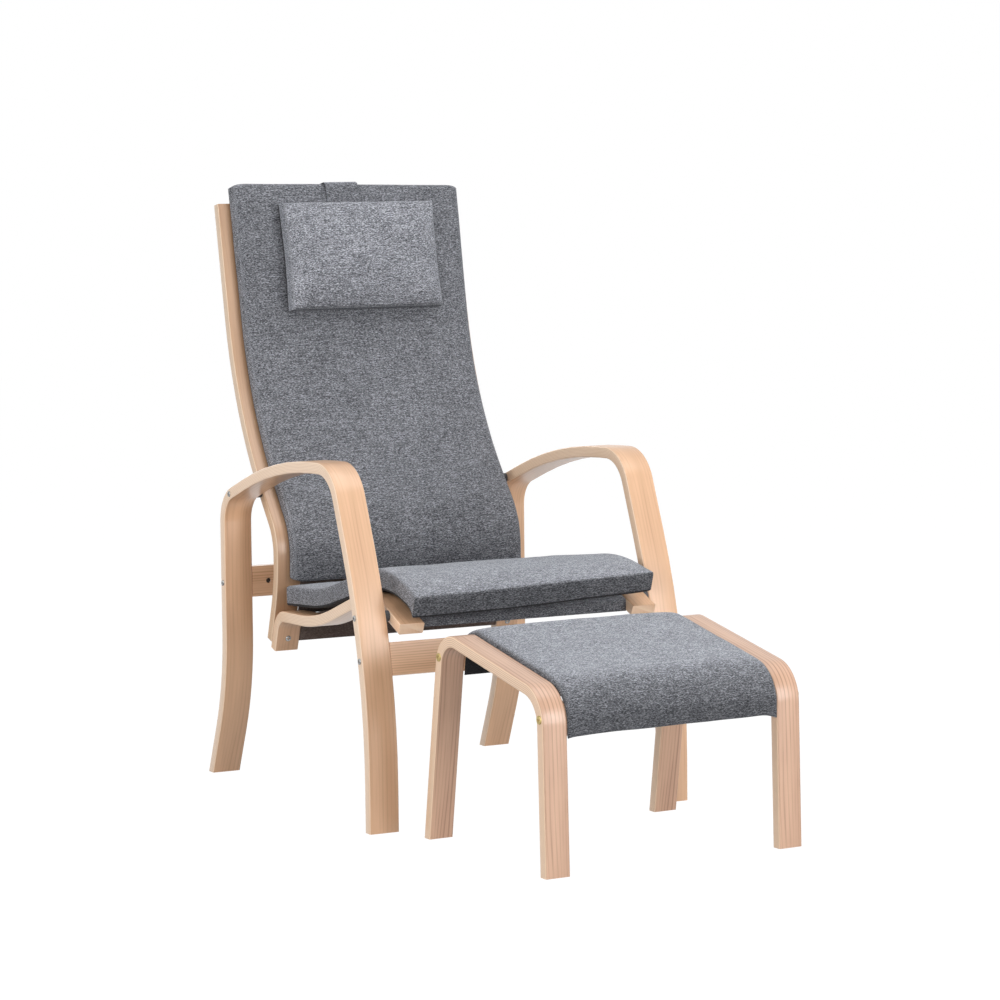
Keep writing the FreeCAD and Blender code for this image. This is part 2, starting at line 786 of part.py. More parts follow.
def chair_pieces():
    left_arm = arm_frame()
    left_seat = seat_rail()
    left_back = back_rail()
    spots = [arm_back_spot, arm_seat_spot]
    spacers = [
        cylinder_x(spacer_radius, -arm_inner, -rail_outer, spot).cut(
            cylinder_x(bolt_radius + bolt_clearance, -arm_inner - overrun, -rail_outer + overrun, spot))
        for spot in spots]
    rails = [(rear_rail_spot, rear_rail_way), (front_rail_spot, front_rail_way)]
    pieces = {
        "left_arm_frame": left_arm,
        "right_arm_frame": mirrored(left_arm),
        "rear_cross_rail": cross_rail(rear_rail_spot, rear_rail_way, -1),
        "front_cross_rail": cross_rail(front_rail_spot, front_rail_way, 1),
        "left_seat_rail": left_seat,
        "right_seat_rail": mirrored(left_seat),
        "left_back_rail": left_back,
        "right_back_rail": mirrored(left_back),
        "seat_sling": seat_sling(),
        "front_bar_cover": wrapped("seat_front_bar"),
        "back_sling": back_sling(),
        "seat_cushion": seat_cushion(),
        "back_cushion": back_cushion(),
        "rail_spacers": Part.makeCompound(both_sides(spacers)),
        "rail_insert_nuts": Part.makeCompound(both_sides([insert_nut(spot) for spot in spots])),
        "cross_rail_barrel_nuts": Part.makeCompound(
            both_sides([barrel_nut(arm_inner, spot, across(way)) for spot, way in rails])),
        "hook_bolts": Part.makeCompound(both_sides(
            [bolt_along(hook_front, hook_normal, hook_grip + bolt_head_height / 2,
                        bolt_head_radius, bolt_head_height)])),
        "hook_nuts": Part.makeCompound(both_sides([hook_nut()])),
        "headrest_pillow": headrest_pillow(),
        "headrest_strap": headrest_strap(),
        "headrest_counterweight": headrest_counterweight(),
    }
    for name, (spot, end_x) in arm_bolts.items():
        bolts = [side_bolt(arm_outer, end_x, spot, bolt_head_radius, bolt_head_height)]
        pieces[name] = Part.makeCompound(both_sides(bolts))
    dowels = []
    for name in bar_names:
        pieces[name] = bar(name)
        dowels += bar_dowels(name, dowel_radius, 0)
    pieces["bar_dowels"] = Part.makeCompound(dowels)
    return pieces


def stool_pieces():
    left = stool_frame()
    spots = [stool_front_spot, stool_rear_spot]
    pieces = {
        "stool_left_frame": left,
        "stool_right_frame": mirrored(left),
        "stool_front_rail": stool_rail("front"),
        "stool_rear_rail": stool_rail("rear"),
        "stool_cushion": stool_cushion(),
        "stool_lining": stool_lining(),
        "stool_bolts": Part.makeCompound(both_sides([stool_bolt(spot) for spot in spots])),
        "stool_barrel_nuts": Part.makeCompound(both_sides([stool_barrel(spot) for spot in spots])),
    }
    turn = FreeCAD.Rotation(z_axis, stool_turn_degrees)
    place = FreeCAD.Placement(FreeCAD.Vector(stool_offset, -stool_gap_ahead, 0), turn)
    return {name: shape.transformed(place.toMatrix()) for name, shape in pieces.items()}


def write_parts():
    os.makedirs("parts", exist_ok=True)
    pieces = chair_pieces()
    pieces.update(stool_pieces())
    box = Part.makeCompound(list(pieces.values())).optimalBoundingBox()
    to_origin = FreeCAD.Vector(-box.Center.x, -box.Center.y, -box.ZMin)
    for name, shape in pieces.items():
        placed = shape.translated(to_origin)
        placed.exportStep(os.path.join("parts", name + ".step"))
        print(name, len(placed.Solids), placed.isValid(), round(placed.Volume / 1000))
    print("size", round(box.XLength, 1), round(box.YLength, 1), round(box.ZLength, 1))
    print("shift", round(to_origin.x, 2), round(to_origin.y, 2), round(to_origin.z, 2))


write_parts()
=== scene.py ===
import bpy
import bmesh
import math
from mathutils import Matrix, Vector, noise


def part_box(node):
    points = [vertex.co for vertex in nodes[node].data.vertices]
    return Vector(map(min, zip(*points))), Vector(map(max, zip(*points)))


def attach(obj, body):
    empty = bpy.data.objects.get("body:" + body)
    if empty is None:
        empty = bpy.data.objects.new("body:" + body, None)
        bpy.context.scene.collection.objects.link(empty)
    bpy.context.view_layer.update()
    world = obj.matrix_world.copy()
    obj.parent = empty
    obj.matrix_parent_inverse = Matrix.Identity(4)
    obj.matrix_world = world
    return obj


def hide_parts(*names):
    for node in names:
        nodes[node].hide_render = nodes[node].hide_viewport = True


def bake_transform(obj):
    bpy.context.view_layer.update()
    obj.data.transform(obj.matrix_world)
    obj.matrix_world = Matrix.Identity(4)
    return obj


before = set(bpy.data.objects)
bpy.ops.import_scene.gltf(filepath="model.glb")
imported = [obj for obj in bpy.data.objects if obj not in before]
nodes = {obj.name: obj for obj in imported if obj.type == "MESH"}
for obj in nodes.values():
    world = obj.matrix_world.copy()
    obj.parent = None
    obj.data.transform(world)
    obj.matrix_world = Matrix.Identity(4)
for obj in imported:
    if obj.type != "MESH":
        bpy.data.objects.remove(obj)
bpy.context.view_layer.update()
scene = bpy.context.scene
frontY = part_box("left_arm_frame")[0].y      # front face of the chair's front feet
frontPlace = Vector((0.0, frontY, 0.0))
print("frame loaded,", len(nodes), "nodes")

# Camera

cameraSettings = {
    "focalPixels": 3461.0,
    "imagePixels": 1000.0,
    "sensor": 36.0,
    "yaw": 27.49,
    "pitch": 5.74,
    "roll": -0.53,
    "place": (-2.8935, -5.4432, 1.1960),    # Y counts from the front feet
}


def makeCamera(settings):
    data = bpy.data.cameras.new("photoCamera")
    data.sensor_width = settings["sensor"]
    data.lens = settings["focalPixels"] / settings["imagePixels"] * settings["sensor"]
    data.clip_start, data.clip_end = 0.1, 60.0
    yaw, pitch, roll = (math.radians(settings[key]) for key in ("yaw", "pitch", "roll"))
    ahead = Vector((math.sin(yaw) * math.cos(pitch), math.cos(yaw) * math.cos(pitch), -math.sin(pitch)))
    level = Vector((math.cos(yaw), -math.sin(yaw), 0.0))
    upright = level.cross(ahead)
    right = level * math.cos(roll) + upright * math.sin(roll)
    up = upright * math.cos(roll) - level * math.sin(roll)
    turn = Matrix((right, up, -ahead)).transposed().to_4x4()
    camera = bpy.data.objects.new("photoCamera", data)
    camera.matrix_world = Matrix.Translation(Vector(settings["place"]) + frontPlace) @ turn
    scene.collection.objects.link(camera)
    scene.camera = camera


makeCamera(cameraSettings)
scene.view_settings.view_transform = "Standard"
print("camera placed")

# Node trees: arithmetic on a Wire adds Math nodes, everything else comes from addNode


class Wire:
    def __init__(self, tree, socket):
        self.tree = tree
        self.socket = socket

    def __add__(self, other):
        return calc("ADD", self, other)

    def __sub__(self, other):
        return calc("SUBTRACT", self, other)

    def __rsub__(self, other):
        return calc("SUBTRACT", other, self)

    def __mul__(self, other):
        return calc("MULTIPLY", self, other)

    __radd__, __rmul__ = __add__, __mul__


def addNode(tree, kind, sockets=None, output=0, **settings):
    # A new node's output, or all of them where output is None; colours are red, green, blue
    node = tree.nodes.new(kind)
    for key, value in settings.items():
        if key == "stops":
            ramp = node.color_ramp
            while len(ramp.elements) < len(value):
                ramp.elements.new(1.0)
            for element, (position, colour) in zip(ramp.elements, value):
                element.position = position
                element.color = (*colour, 1.0)
        else:
            setattr(node, key, value)
    for key, value in (sockets or {}).items():
        socket = node.inputs[key]
        if isinstance(value, (Wire, list)):
            for wire in value if isinstance(value, list) else [value]:
                tree.links.new(wire.socket, socket)
        else:
            socket.default_value = (*value, 1.0) if socket.type == "RGBA" else value
    return [Wire(tree, one) for one in node.outputs] if output is None else Wire(tree, node.outputs[output])


def calc(operation, *values):
    tree = next(value.tree for value in values if isinstance(value, Wire))
    return addNode(tree, "ShaderNodeMath", dict(enumerate(values)), operation=operation)


def newMaterial(name):
    material = bpy.data.materials.new(name)
    material.use_nodes = True
    material.node_tree.nodes.clear()
    return material, material.node_tree


def finishMaterial(tree, height, strength, distance, sockets):
    bump = addNode(tree, "ShaderNodeBump", {"Strength": strength, "Distance": distance, "Height": height}, "Normal")
    surface = addNode(tree, "ShaderNodeBsdfPrincipled", {**sockets, "Normal": bump})
    addNode(tree, "ShaderNodeOutputMaterial", {"Surface": surface}, None)


def mixColours(tree, factor, first, second):
    return addNode(tree, "ShaderNodeMix", {0: factor, 6: first, 7: second}, 2, data_type="RGBA")


def scaled(vector, scale):
    return addNode(vector.tree, "ShaderNodeVectorMath", {0: vector, 1: scale}, operation="MULTIPLY")


def apart(vector):
    return addNode(vector.tree, "ShaderNodeSeparateXYZ", {0: vector}, None)


def together(x, y, z):
    return addNode(x.tree, "ShaderNodeCombineXYZ", {0: x, 1: y, 2: z})


def noiseOn(vector, scale, detail=2.0, roughness=0.5):
    sockets = {"Vector": vector, "Scale": scale, "Detail": detail, "Roughness": roughness}
    return addNode(vector.tree, "ShaderNodeTexNoise", sockets, "Fac")


def between(value, low, high):
    # 0 up to low, 1 from high on
    sockets = {"Value": value, "From Min": low, "From Max": high, "To Min": 0.0, "To Max": 1.0}
    return addNode(value.tree, "ShaderNodeMapRange", sockets, "Result", clamp=True)


# Materials

grainSettings = {
    "across": 13.0, "along": 1.2, "wander": 7.0,        # the broad figure, in repeats a metre
    "fibreAcross": 950.0, "fibreAlong": 11.0,
    "bump": 0.14, "bumpDistance": 0.0006, "coat": 0.55, "coatRoughness": 0.27,
}
birchSettings = {
    **grainSettings,
    "light": (0.770, 0.478, 0.290), "dark": (0.510, 0.285, 0.160), "pore": (0.400, 0.235, 0.150),
    "edge": (0.920, 0.695, 0.505),      # narrow sides, where the veneers are cut
    "figure": 0.30, "lines": 130.0, "poreDepth": 0.18, "veneer": 0.0026, "roughness": 0.40,
}
# painted shade: a darker copy of the birch for the back rails, which the cushion shades
shadedBackRailSettings = {
    **birchSettings, "light": (0.490, 0.300, 0.178), "dark": (0.325, 0.180, 0.100), "edge": (0.800, 0.600, 0.420),
}
ashSettings = {
    **grainSettings,
    "light": (0.668, 0.418, 0.282), "dark": (0.395, 0.215, 0.138), "pore": (0.230, 0.135, 0.098),
    "edge": (0.900, 0.655, 0.455),
    "figure": 0.72, "lines": 135.0, "poreDepth": 0.45, "veneer": 0.0033, "roughness": 0.42,
}
boardSettings = {
    **grainSettings,
    "light": (0.850, 0.540, 0.338), "dark": (0.590, 0.332, 0.190), "pore": (0.300, 0.175, 0.115),
    "edge": (0.850, 0.620, 0.440),
    "figure": 0.75, "lines": 210.0, "poreDepth": 0.36, "veneer": 0.0190, "roughness": 0.44,
}


def makeWood(name, settings, bent=True):
    # A bent strip carries its grain as attributes, a board's grain runs straight along X
    material, tree = newMaterial(name)
    if bent:
        across, through, along = apart(addNode(tree, "ShaderNodeAttribute", None, "Vector", attribute_name="grain"))
        edge = addNode(tree, "ShaderNodeAttribute", None, "Fac", attribute_name="cutEdge")
    else:
        along, through, across = apart(addNode(tree, "ShaderNodeTexCoord", None, "Object"))
        edge = 0.0
    stretched = together(across * settings["across"], through * settings["across"], along * settings["along"])
    bend = noiseOn(stretched, 1.0, 2.0)
    broad = noiseOn(stretched, 2.3, 3.0)
    # growth lines run lengthwise, wander together and fade in and out
    wander = across * settings["lines"] + through * (settings["lines"] * 0.3) + bend * settings["wander"]
    fade = between(noiseOn(stretched, 4.0, 2.0), 0.32, 0.62)
    lines = between(calc("SINE", wander * math.tau), 0.15, 0.95) * fade
    fineAcross, fineAlong = settings["fibreAcross"], settings["fibreAlong"]
    fibre = noiseOn(together(across * fineAcross, through * fineAcross, along * fineAlong), 1.0, 3.0, 0.6)
    pores = between(fibre, 0.58, 0.74)
    tone = (broad - 0.5) * 1.5 + lines * settings["figure"] + (fibre - 0.5) * 0.5 + 0.25
    colour = mixColours(tree, between(tone, 0.0, 1.0), settings["light"], settings["dark"])
    colour = mixColours(tree, pores * (lines * 0.7 + 0.3) * settings["poreDepth"], colour, settings["pore"])
    # veneers show as thin lines on the cut edges
    layer = calc("PINGPONG", through + bend * 0.0006, settings["veneer"] / 2)
    glue = 1.0 - between(layer, 0.0, settings["veneer"] * 0.24)
    cut = mixColours(tree, glue * 0.75, settings["edge"], settings["dark"])
    cut = mixColours(tree, between(broad, 0.45, 0.75) * 0.35, cut, settings["light"])
    cut = mixColours(tree, pores * 0.12, cut, settings["pore"])
    height = fibre * 0.5 - pores * 0.7 - lines * 0.25
    finishMaterial(tree, height, settings["bump"], settings["bumpDistance"], {
        "Base Color": mixColours(tree, edge, colour, cut),
        "Roughness": fibre * 0.16 + (settings["roughness"] - 0.06),
        "Coat Weight": settings["coat"],
        "Coat Roughness": settings["coatRoughness"],
    })
    return material


clothSettings = {
    "dark": (0.031, 0.032, 0.036), "mid": (0.124, 0.128, 0.142), "light": (0.415, 0.425, 0.465),
    # side is painted light: a lighter tone on the faces that look sideways
    "tone": 1.0, "side": 1.35, "fleck": 530.0, "thread": 0.0021, "relief": 0.0008,
    "sheen": 0.40, "sheenTint": (0.86, 0.91, 1.0),
    # painted light: how far the cloth looks up, from 0 to 1, and the painted tone there
    "paintedLight": [(0.05, 0.210), (0.345, 0.380), (0.515, 0.530), (0.600, 0.650), (0.800, 0.710), (0.985, 1.000)],
}
# painted light: the pillow's cloth is the grey cloth made lighter, with its own table of painted tone by facing and no
# painted side tone
pillowClothSettings = {
    **clothSettings, "tone": 1.46, "side": 1.0,
    "paintedLight": [(0.05, 0.200), (0.345, 0.460), (0.515, 0.640), (0.640, 0.680), (0.800, 0.710), (0.985, 1.000)],
}
# painted shade: the footstool pad's own table of painted tone by facing, darker on the flaps that look forward
padClothSettings = {
    **clothSettings, "side": 1.0,
    "paintedLight": [(0.345, 0.370), (0.515, 0.450), (0.640, 0.490), (0.760, 0.560), (0.900, 0.760), (0.985, 1.000)],
}
seamSettings = {
    "dark": (0.012, 0.012, 0.014), "mid": (0.034, 0.035, 0.038), "light": (0.095, 0.098, 0.105),
    "fleck": 800.0, "thread": 0.0012, "relief": 0.0002, "sheen": 0.10, "sheenTint": (0.86, 0.91, 1.0),
}
threadSettings = {
    "dark": (0.150, 0.152, 0.160), "mid": (0.240, 0.245, 0.255), "light": (0.360, 0.365, 0.380),
    "fleck": 900.0, "thread": 0.0006, "relief": 0.0001, "sheen": 0.10, "sheenTint": (1.0, 1.0, 1.0),
}
brownSettings = {
    "dark": (0.075, 0.055, 0.047), "mid": (0.130, 0.098, 0.086), "light": (0.200, 0.155, 0.140),
    "fleck": 520.0, "thread": 0.0014, "relief": 0.0003, "sheen": 0.10, "sheenTint": (1.0, 0.9, 0.85),
}
liningSettings = {
    "dark": (0.008, 0.008, 0.009), "mid": (0.018, 0.018, 0.020), "light": (0.045, 0.045, 0.048),
    "fleck": 700.0, "thread": 0.0016, "relief": 0.0002, "sheen": 0.05, "sheenTint": (1.0, 1.0, 1.0),
}


def makeCloth(name, settings):
    material, tree = newMaterial(name)
    place = addNode(tree, "ShaderNodeTexCoord", None, "Object")
    x, y, z = apart(place)
    wander = noiseOn(place, 16.0, 3.0)
    drift = noiseOn(place, 70.0, 2.0)
    # weft threads run across the piece, and front to back on the faces that look sideways
    facing, _, upward = apart(addNode(tree, "ShaderNodeTexCoord", None, "Normal"))
    sideways = between(calc("ABSOLUTE", facing), 0.55, 0.75)
    weft = addNode(tree, "ShaderNodeMix", {
        0: sideways, 4: scaled(place, (0.45, 1.40, 1.60)), 5: scaled(place, (1.0, 0.45, 1.60))}, 1, data_type="VECTOR")
    fleck = settings["fleck"]
    slub = noiseOn(weft, fleck, 1.0, 0.7)
    streak = noiseOn(scaled(weft, (0.16, 0.75, 0.75)), fleck, 1.0)
    fine = noiseOn(place, fleck * 2.1, 1.0)
    # twill: fine ridges that rise across the piece
    twill = calc("SINE", (x + z * 0.8 + y * 0.8 + drift * 0.004) * (math.tau / settings["thread"]))
    value = (slub - 0.5) * 1.50 + (fine - 0.5) * 0.85 + (streak - 0.5) * 0.42 + twill * 0.045
    value = value + (wander - 0.5) * 0.12 + (drift - 0.5) * 0.16 + 0.5
    colour = addNode(tree, "ShaderNodeValToRGB", {"Fac": value}, "Color", stops=[
        (0.18, settings["dark"]), (0.50, settings["mid"]), (0.84, settings["light"])])
    # painted light and shade: lighter where the cloth looks up, darker where it looks down, and the faces that look
    # sideways scaled by the painted side tone
    if "paintedLight" in settings:
        paintedLight = addNode(tree, "ShaderNodeValToRGB", {"Fac": upward * 0.5 + 0.5}, "Color", stops=[
            (spot, (tone,) * 3) for spot, tone in settings["paintedLight"]])
        tone = paintedLight * (sideways * (settings["side"] - 1.0) + 1.0) * (1.5 * settings["tone"])
        colour = addNode(tree, "ShaderNodeVectorMath", {0: colour, "Scale": tone}, operation="SCALE")
    finishMaterial(tree, twill * 0.25 + slub * 1.1 + fine * 0.5, 0.55, settings["relief"], {
        "Base Color": colour,
        "Roughness": slub * 0.14 + 0.82,
        "Sheen Weight": settings["sheen"],
        "Sheen Roughness": 0.42,
        "Sheen Tint": settings["sheenTint"],
        "Specular IOR Level": 0.2,
    })
    return material


def makeMetal(name, bright, dull):
    material, tree = newMaterial(name)
    place = addNode(tree, "ShaderNodeTexCoord", None, "Object")
    cloud = noiseOn(place, 260.0, 3.0, 0.6)
    scratch = noiseOn(scaled(place, (300.0, 2600.0, 2600.0)), 1.0, 2.0)
    finishMaterial(tree, scratch, 0.15, 0.0002, {
        "Base Color": mixColours(tree, between(cloud, 0.3, 0.7), bright, dull),
        "Metallic": 1.0,
        "Roughness": cloud * 0.24 + 0.2,
    })
    return material


def makeNylon(name, dark, light):
    material, tree = newMaterial(name)
    grain = noiseOn(addNode(tree, "ShaderNodeTexCoord", None, "Object"), 900.0, 2.0)
    finishMaterial(tree, grain, 0.2, 0.0002, {
        "Base Color": mixColours(tree, grain, dark, light), "Roughness": grain * 0.2 + 0.42})
    return material


stripWood = makeWood("bentBirch", birchSettings)
backRailWood = makeWood("backRailWood", shadedBackRailSettings)
stoolWood = makeWood("bentAsh", ashSettings)
boardWood = makeWood("boardWood", boardSettings, bent=False)
greyCloth = makeCloth("greyCloth", clothSettings)
pillowCloth = makeCloth("pillowCloth", pillowClothSettings)
padCloth = makeCloth("padCloth", padClothSettings)
brownCloth = makeCloth("brownCloth", brownSettings)
liningCloth = makeCloth("liningCloth", liningSettings)
seamCloth = makeCloth("seamCloth", seamSettings)
seamThread = makeCloth("seamThread", threadSettings)
brightZinc = makeMetal("brightZinc", (0.48, 0.48, 0.47), (0.13, 0.13, 0.13))
yellowZinc = makeMetal("yellowZinc", (0.66, 0.52, 0.22), (0.24, 0.18, 0.07))
blackNylon = makeNylon("blackNylon", (0.035, 0.035, 0.038), (0.075, 0.075, 0.08))
print("materials made")

# Side-view lines of the bent pieces: (y, z, radius), with Y from the front feet


def way(a, b):
    length = math.hypot(b[0] - a[0], b[1] - a[1])
    return (b[0] - a[0]) / length, (b[1] - a[1]) / length


def halfTurn(before, after):
    return math.tan(math.acos(max(-1.0, min(1.0, before[0] * after[0] + before[1] * after[1]))) / 2)


def fitRadii(corners):
    radii = [corner[2] for corner in corners]
    for _ in corners:
        for i in range(len(corners) - 1):
            room = math.dist(corners[i][:2], corners[i + 1][:2])
            reach = sum(
                radii[j] * halfTurn(way(corners[j - 1], corners[j]), way(corners[j], corners[j + 1]))
                for j in (i, i + 1) if 0 < j < len(corners) - 1)
            if reach > room:
                radii[i] *= room / reach
                radii[i + 1] *= room / reach
    return [(y, z, r) for (y, z, _), r in zip(corners, radii)]


def lineFromShares(shares, startY, depth, startZ, height):
    return fitRadii([(startY + depth * y, startZ + height * z, height * r) for y, z, r in shares])


arcStep = 3.0       # degrees between points of a bend


def bentLine(corners, depth):
    # Points of the rounded line, moved to the left of its run by depth
    points = []
    last = len(corners) - 1
    for i, (y, z, radius) in enumerate(corners):
        if i in (0, last) or radius <= 0:
            before = way(corners[i - 1], corners[i]) if i else way(corners[0], corners[1])
            after = way(corners[i], corners[i + 1]) if i < last else before
            spread = 1 + before[0] * after[0] + before[1] * after[1]
            points.append((y - (before[1] + after[1]) / spread * depth, z + (before[0] + after[0]) / spread * depth))
            continue
        before, after = way(corners[i - 1], corners[i]), way(corners[i], corners[i + 1])
        reach = radius * halfTurn(before, after)
        side = 1.0 if before[0] * after[1] - before[1] * after[0] > 0 else -1.0
        startY, startZ = y - before[0] * reach, z - before[1] * reach
        centreY, centreZ = startY - before[1] * radius * side, startZ + before[0] * radius * side
        startAngle = math.atan2(startZ - centreZ, startY - centreY)
        sweep = 2 * math.atan(reach / radius) * side
        count = max(2, math.ceil(abs(math.degrees(sweep)) / arcStep))
        moved = radius - depth * side
        for k in range(count + 1):
            angle = startAngle + sweep * k / count
            points.append((centreY + math.cos(angle) * moved, centreZ + math.sin(angle) * moved))
    return points


def evenly(points, step):
    # The same line with points no further apart than step
    dense = [points[0]]
    for a, b in zip(points, points[1:]):
        count = max(1, math.ceil(math.dist(a, b) / step))
        dense += [(a[0] + (b[0] - a[0]) * k / count, a[1] + (b[1] - a[1]) * k / count) for k in range(1, count + 1)]
    return dense


def keptPart(points, wanted):
    return [point for point in points if wanted(*point)]


def longer(points, extra):
    # Both ends run on by extra, for feet that are sawn off at the floor
    first, last = way(points[1], points[0]), way(points[-2], points[-1])
    start = (points[0][0] + first[0] * extra, points[0][1] + first[1] * extra)
    end = (points[-1][0] + last[0] * extra, points[-1][1] + last[1] * extra)
    return [start] + points + [end]


def normalsOf(points):
    # To the left of the run at each point
    runs = [way(points[max(i - 1, 0)], points[min(i + 1, len(points) - 1)]) for i in range(len(points))]
    return [(-z, y) for y, z in runs]

chairLines = {
    "arm": lineFromShares([
        (1.000, 0.000, 0.000), (0.893, 0.283, 0.720), (0.894, 0.850, 0.115), (0.539, 0.989, 1.640),
        (0.198, 1.000, 0.136), (0.000, 0.458, 1.680), (0.000, 0.000, 0.000)], 0.0, 0.735, 0.0, 0.645),
    "seat": fitRadii([
        (0.572, 0.260, 0.0), (0.54809, 0.333577, 0.04991), (0.367729, 0.338407, 0.4669),
        (0.128749, 0.421, 0.17549), (0.003, 0.369641, 0.0)]),
    "back": fitRadii([
        (0.7945, 1.101, 0.0), (0.712546, 0.697965, 0.755379), (0.5335, 0.476504, 0.113847),
        (0.5335, 0.378462, 0.3324), (0.56875, 0.270, 0.0)]),
    "stool": lineFromShares([
        (1.000, 0.000, 0.000), (0.864, 1.000, 0.150), (0.022, 0.815, 0.185), (0.000, 0.000, 0.000)],
        0.0, 0.418, 0.0, 0.379),
}
stoolPlace = (Matrix.Translation((0.021, frontY - 0.477, 0.0)) @ Matrix.Rotation(math.radians(2.53), 4, "Z"))
chairPlace = Matrix.Translation(frontPlace)

# A strip bent along a line, as a Geometry Nodes tree


def newTree(name, inputs):
    # An empty Geometry Nodes tree, and a wire for each input
    tree = bpy.data.node_groups.new(name, "GeometryNodeTree")
    for label, kind in inputs.items():
        tree.interface.new_socket(name=label, in_out="INPUT", socket_type="NodeSocket" + kind)
    tree.interface.new_socket(name="Geometry", in_out="OUTPUT", socket_type="NodeSocketGeometry")
    return tree, addNode(tree, "NodeGroupInput", None, None)[:len(inputs)]


def stored(geometry, name, value, kind="FLOAT_VECTOR"):
    return addNode(geometry.tree, "GeometryNodeStoreNamedAttribute",
                   {"Geometry": geometry, "Name": name, "Value": value}, data_type=kind, domain="POINT")


def painted(geometry, material):
    return addNode(geometry.tree, "GeometryNodeSetMaterial", {"Geometry": geometry, "Material": material})


def makeStripTree():
    tree, (line, width, thickness, edge, material) = newTree("bentStrip", {
        "Geometry": "Geometry", "width": "Float", "thickness": "Float", "edgeRound": "Float", "wood": "Material"})
    normal = addNode(tree, "GeometryNodeSetCurveNormal", {"Curve": line, "Normal": (1.0, 0.0, 0.0)}, mode="FREE")
    rail = stored(normal, "runLength", addNode(tree, "GeometryNodeSplineParameter", None, "Length"), "FLOAT")
    box = addNode(tree, "GeometryNodeCurvePrimitiveQuadrilateral", {"Width": width, "Height": thickness},
                  mode="RECTANGLE")
    rounded = addNode(tree, "GeometryNodeFilletCurve", {"Curve": box, "Radius": edge, "Count": 4}, mode="POLY")
    outline = stored(rounded, "outlinePlace", addNode(tree, "GeometryNodeInputPosition"))
    swept = addNode(tree, "GeometryNodeCurveToMesh", {"Curve": rail, "Profile Curve": outline, "Fill Caps": True})
    run, spot = (addNode(tree, "GeometryNodeInputNamedAttribute", {"Name": name}, "Attribute", data_type=kind)
                 for name, kind in (("runLength", "FLOAT"), ("outlinePlace", "FLOAT_VECTOR")))
    across, through, _ = apart(spot)
    withGrain = stored(swept, "grain", together(across, through, run))
    cutSide = calc("GREATER_THAN", calc("ABSOLUTE", across), width * 0.5 - edge * 0.35)
    withCut = stored(withGrain, "cutEdge", cutSide, "FLOAT")
    whole = addNode(tree, "GeometryNodeRealizeInstances", {"Geometry": withCut})
    addNode(tree, "NodeGroupOutput", {0: painted(whole, material)}, None)
    return tree


stripTree = makeStripTree()


def baked(source, name, place=Matrix.Identity(4)):
    # A plain mesh object from what the modifiers on source give, set in place
    source.update_tag()
    bpy.context.view_layer.update()
    graph = bpy.context.evaluated_depsgraph_get()
    evaluated = source.evaluated_get(graph)
    mesh = bpy.data.meshes.new_from_object(evaluated, preserve_all_data_layers=True, depsgraph=graph)
    mesh.name = name
    mesh.transform(place)
    piece = bpy.data.objects.new(name, mesh)
    scene.collection.objects.link(piece)
    bpy.data.objects.remove(source)
    return piece


def grown(name, tree, lines, values, place=Matrix.Identity(4), cyclic=False):
    # A plain mesh that a tree makes from lines of points
    curve = bpy.data.curves.new(name + "Line", "CURVE")
    curve.dimensions = "3D"
    for line in lines:
        spline = curve.splines.new("POLY")
        spline.points.add(len(line) - 1)
        for point, spot in zip(spline.points, line):
            point.co = (*spot, 1.0)
        spline.use_cyclic_u = cyclic
    source = bpy.data.objects.new(name + "Line", curve)
    scene.collection.objects.link(source)
    modifier = source.modifiers.new(tree.name, "NODES")
    modifier.node_group = tree
    for item in tree.interface.items_tree:
        if item.name in values:
            modifier[item.identifier] = values[item.name]
    return baked(source, name, place)


def plainPiece(name, verts, faces, place, materials):
    mesh = bpy.data.meshes.new(name)
    mesh.from_pydata(verts, [], faces)
    mesh.transform(place)
    for material in materials:
        mesh.materials.append(material)
    piece = bpy.data.objects.new(name, mesh)
    scene.collection.objects.link(piece)
    return piece


def reworked(piece, change):
    work = bmesh.new()
    work.from_mesh(piece.data)
    change(work)
    bmesh.ops.recalc_face_normals(work, faces=work.faces)
    work.to_mesh(piece.data)
    work.free()


mergeDistance = 0.00001


def merged(work):
    bmesh.ops.remove_doubles(work, verts=work.verts, dist=mergeDistance)


def sawnAtFloor(work):
    everything = work.verts[:] + work.edges[:] + work.faces[:]
    cut = bmesh.ops.bisect_plane(work, geom=everything, plane_co=(0, 0, 0), plane_no=(0, 0, -1), clear_outer=True)
    rim = [item for item in cut["geom_cut"] if isinstance(item, bmesh.types.BMEdge)]
    bmesh.ops.holes_fill(work, edges=rim, sides=0)
    rim = [e for e in work.edges if all(abs(v.co.z) < mergeDistance for v in e.verts) and len(e.link_faces) == 2]
    bmesh.ops.bevel(work, geom=rim, offset=woodSizes["footEase"], segments=2, affect="EDGES", clamp_overlap=True)


def smoothByAngle(piece, degrees):
    piece.data.shade_smooth()
    piece.data.set_sharp_from_angle(angle=math.radians(degrees))


def makeStrip(name, points, centreX, width, thickness, edge, material, place, cyclic=False):
    piece = grown(name, stripTree, [[(centreX, y, z) for y, z in points]], {
        "width": width, "thickness": thickness, "edgeRound": edge, "wood": material}, place, cyclic)
    reworked(piece, merged)
    return piece


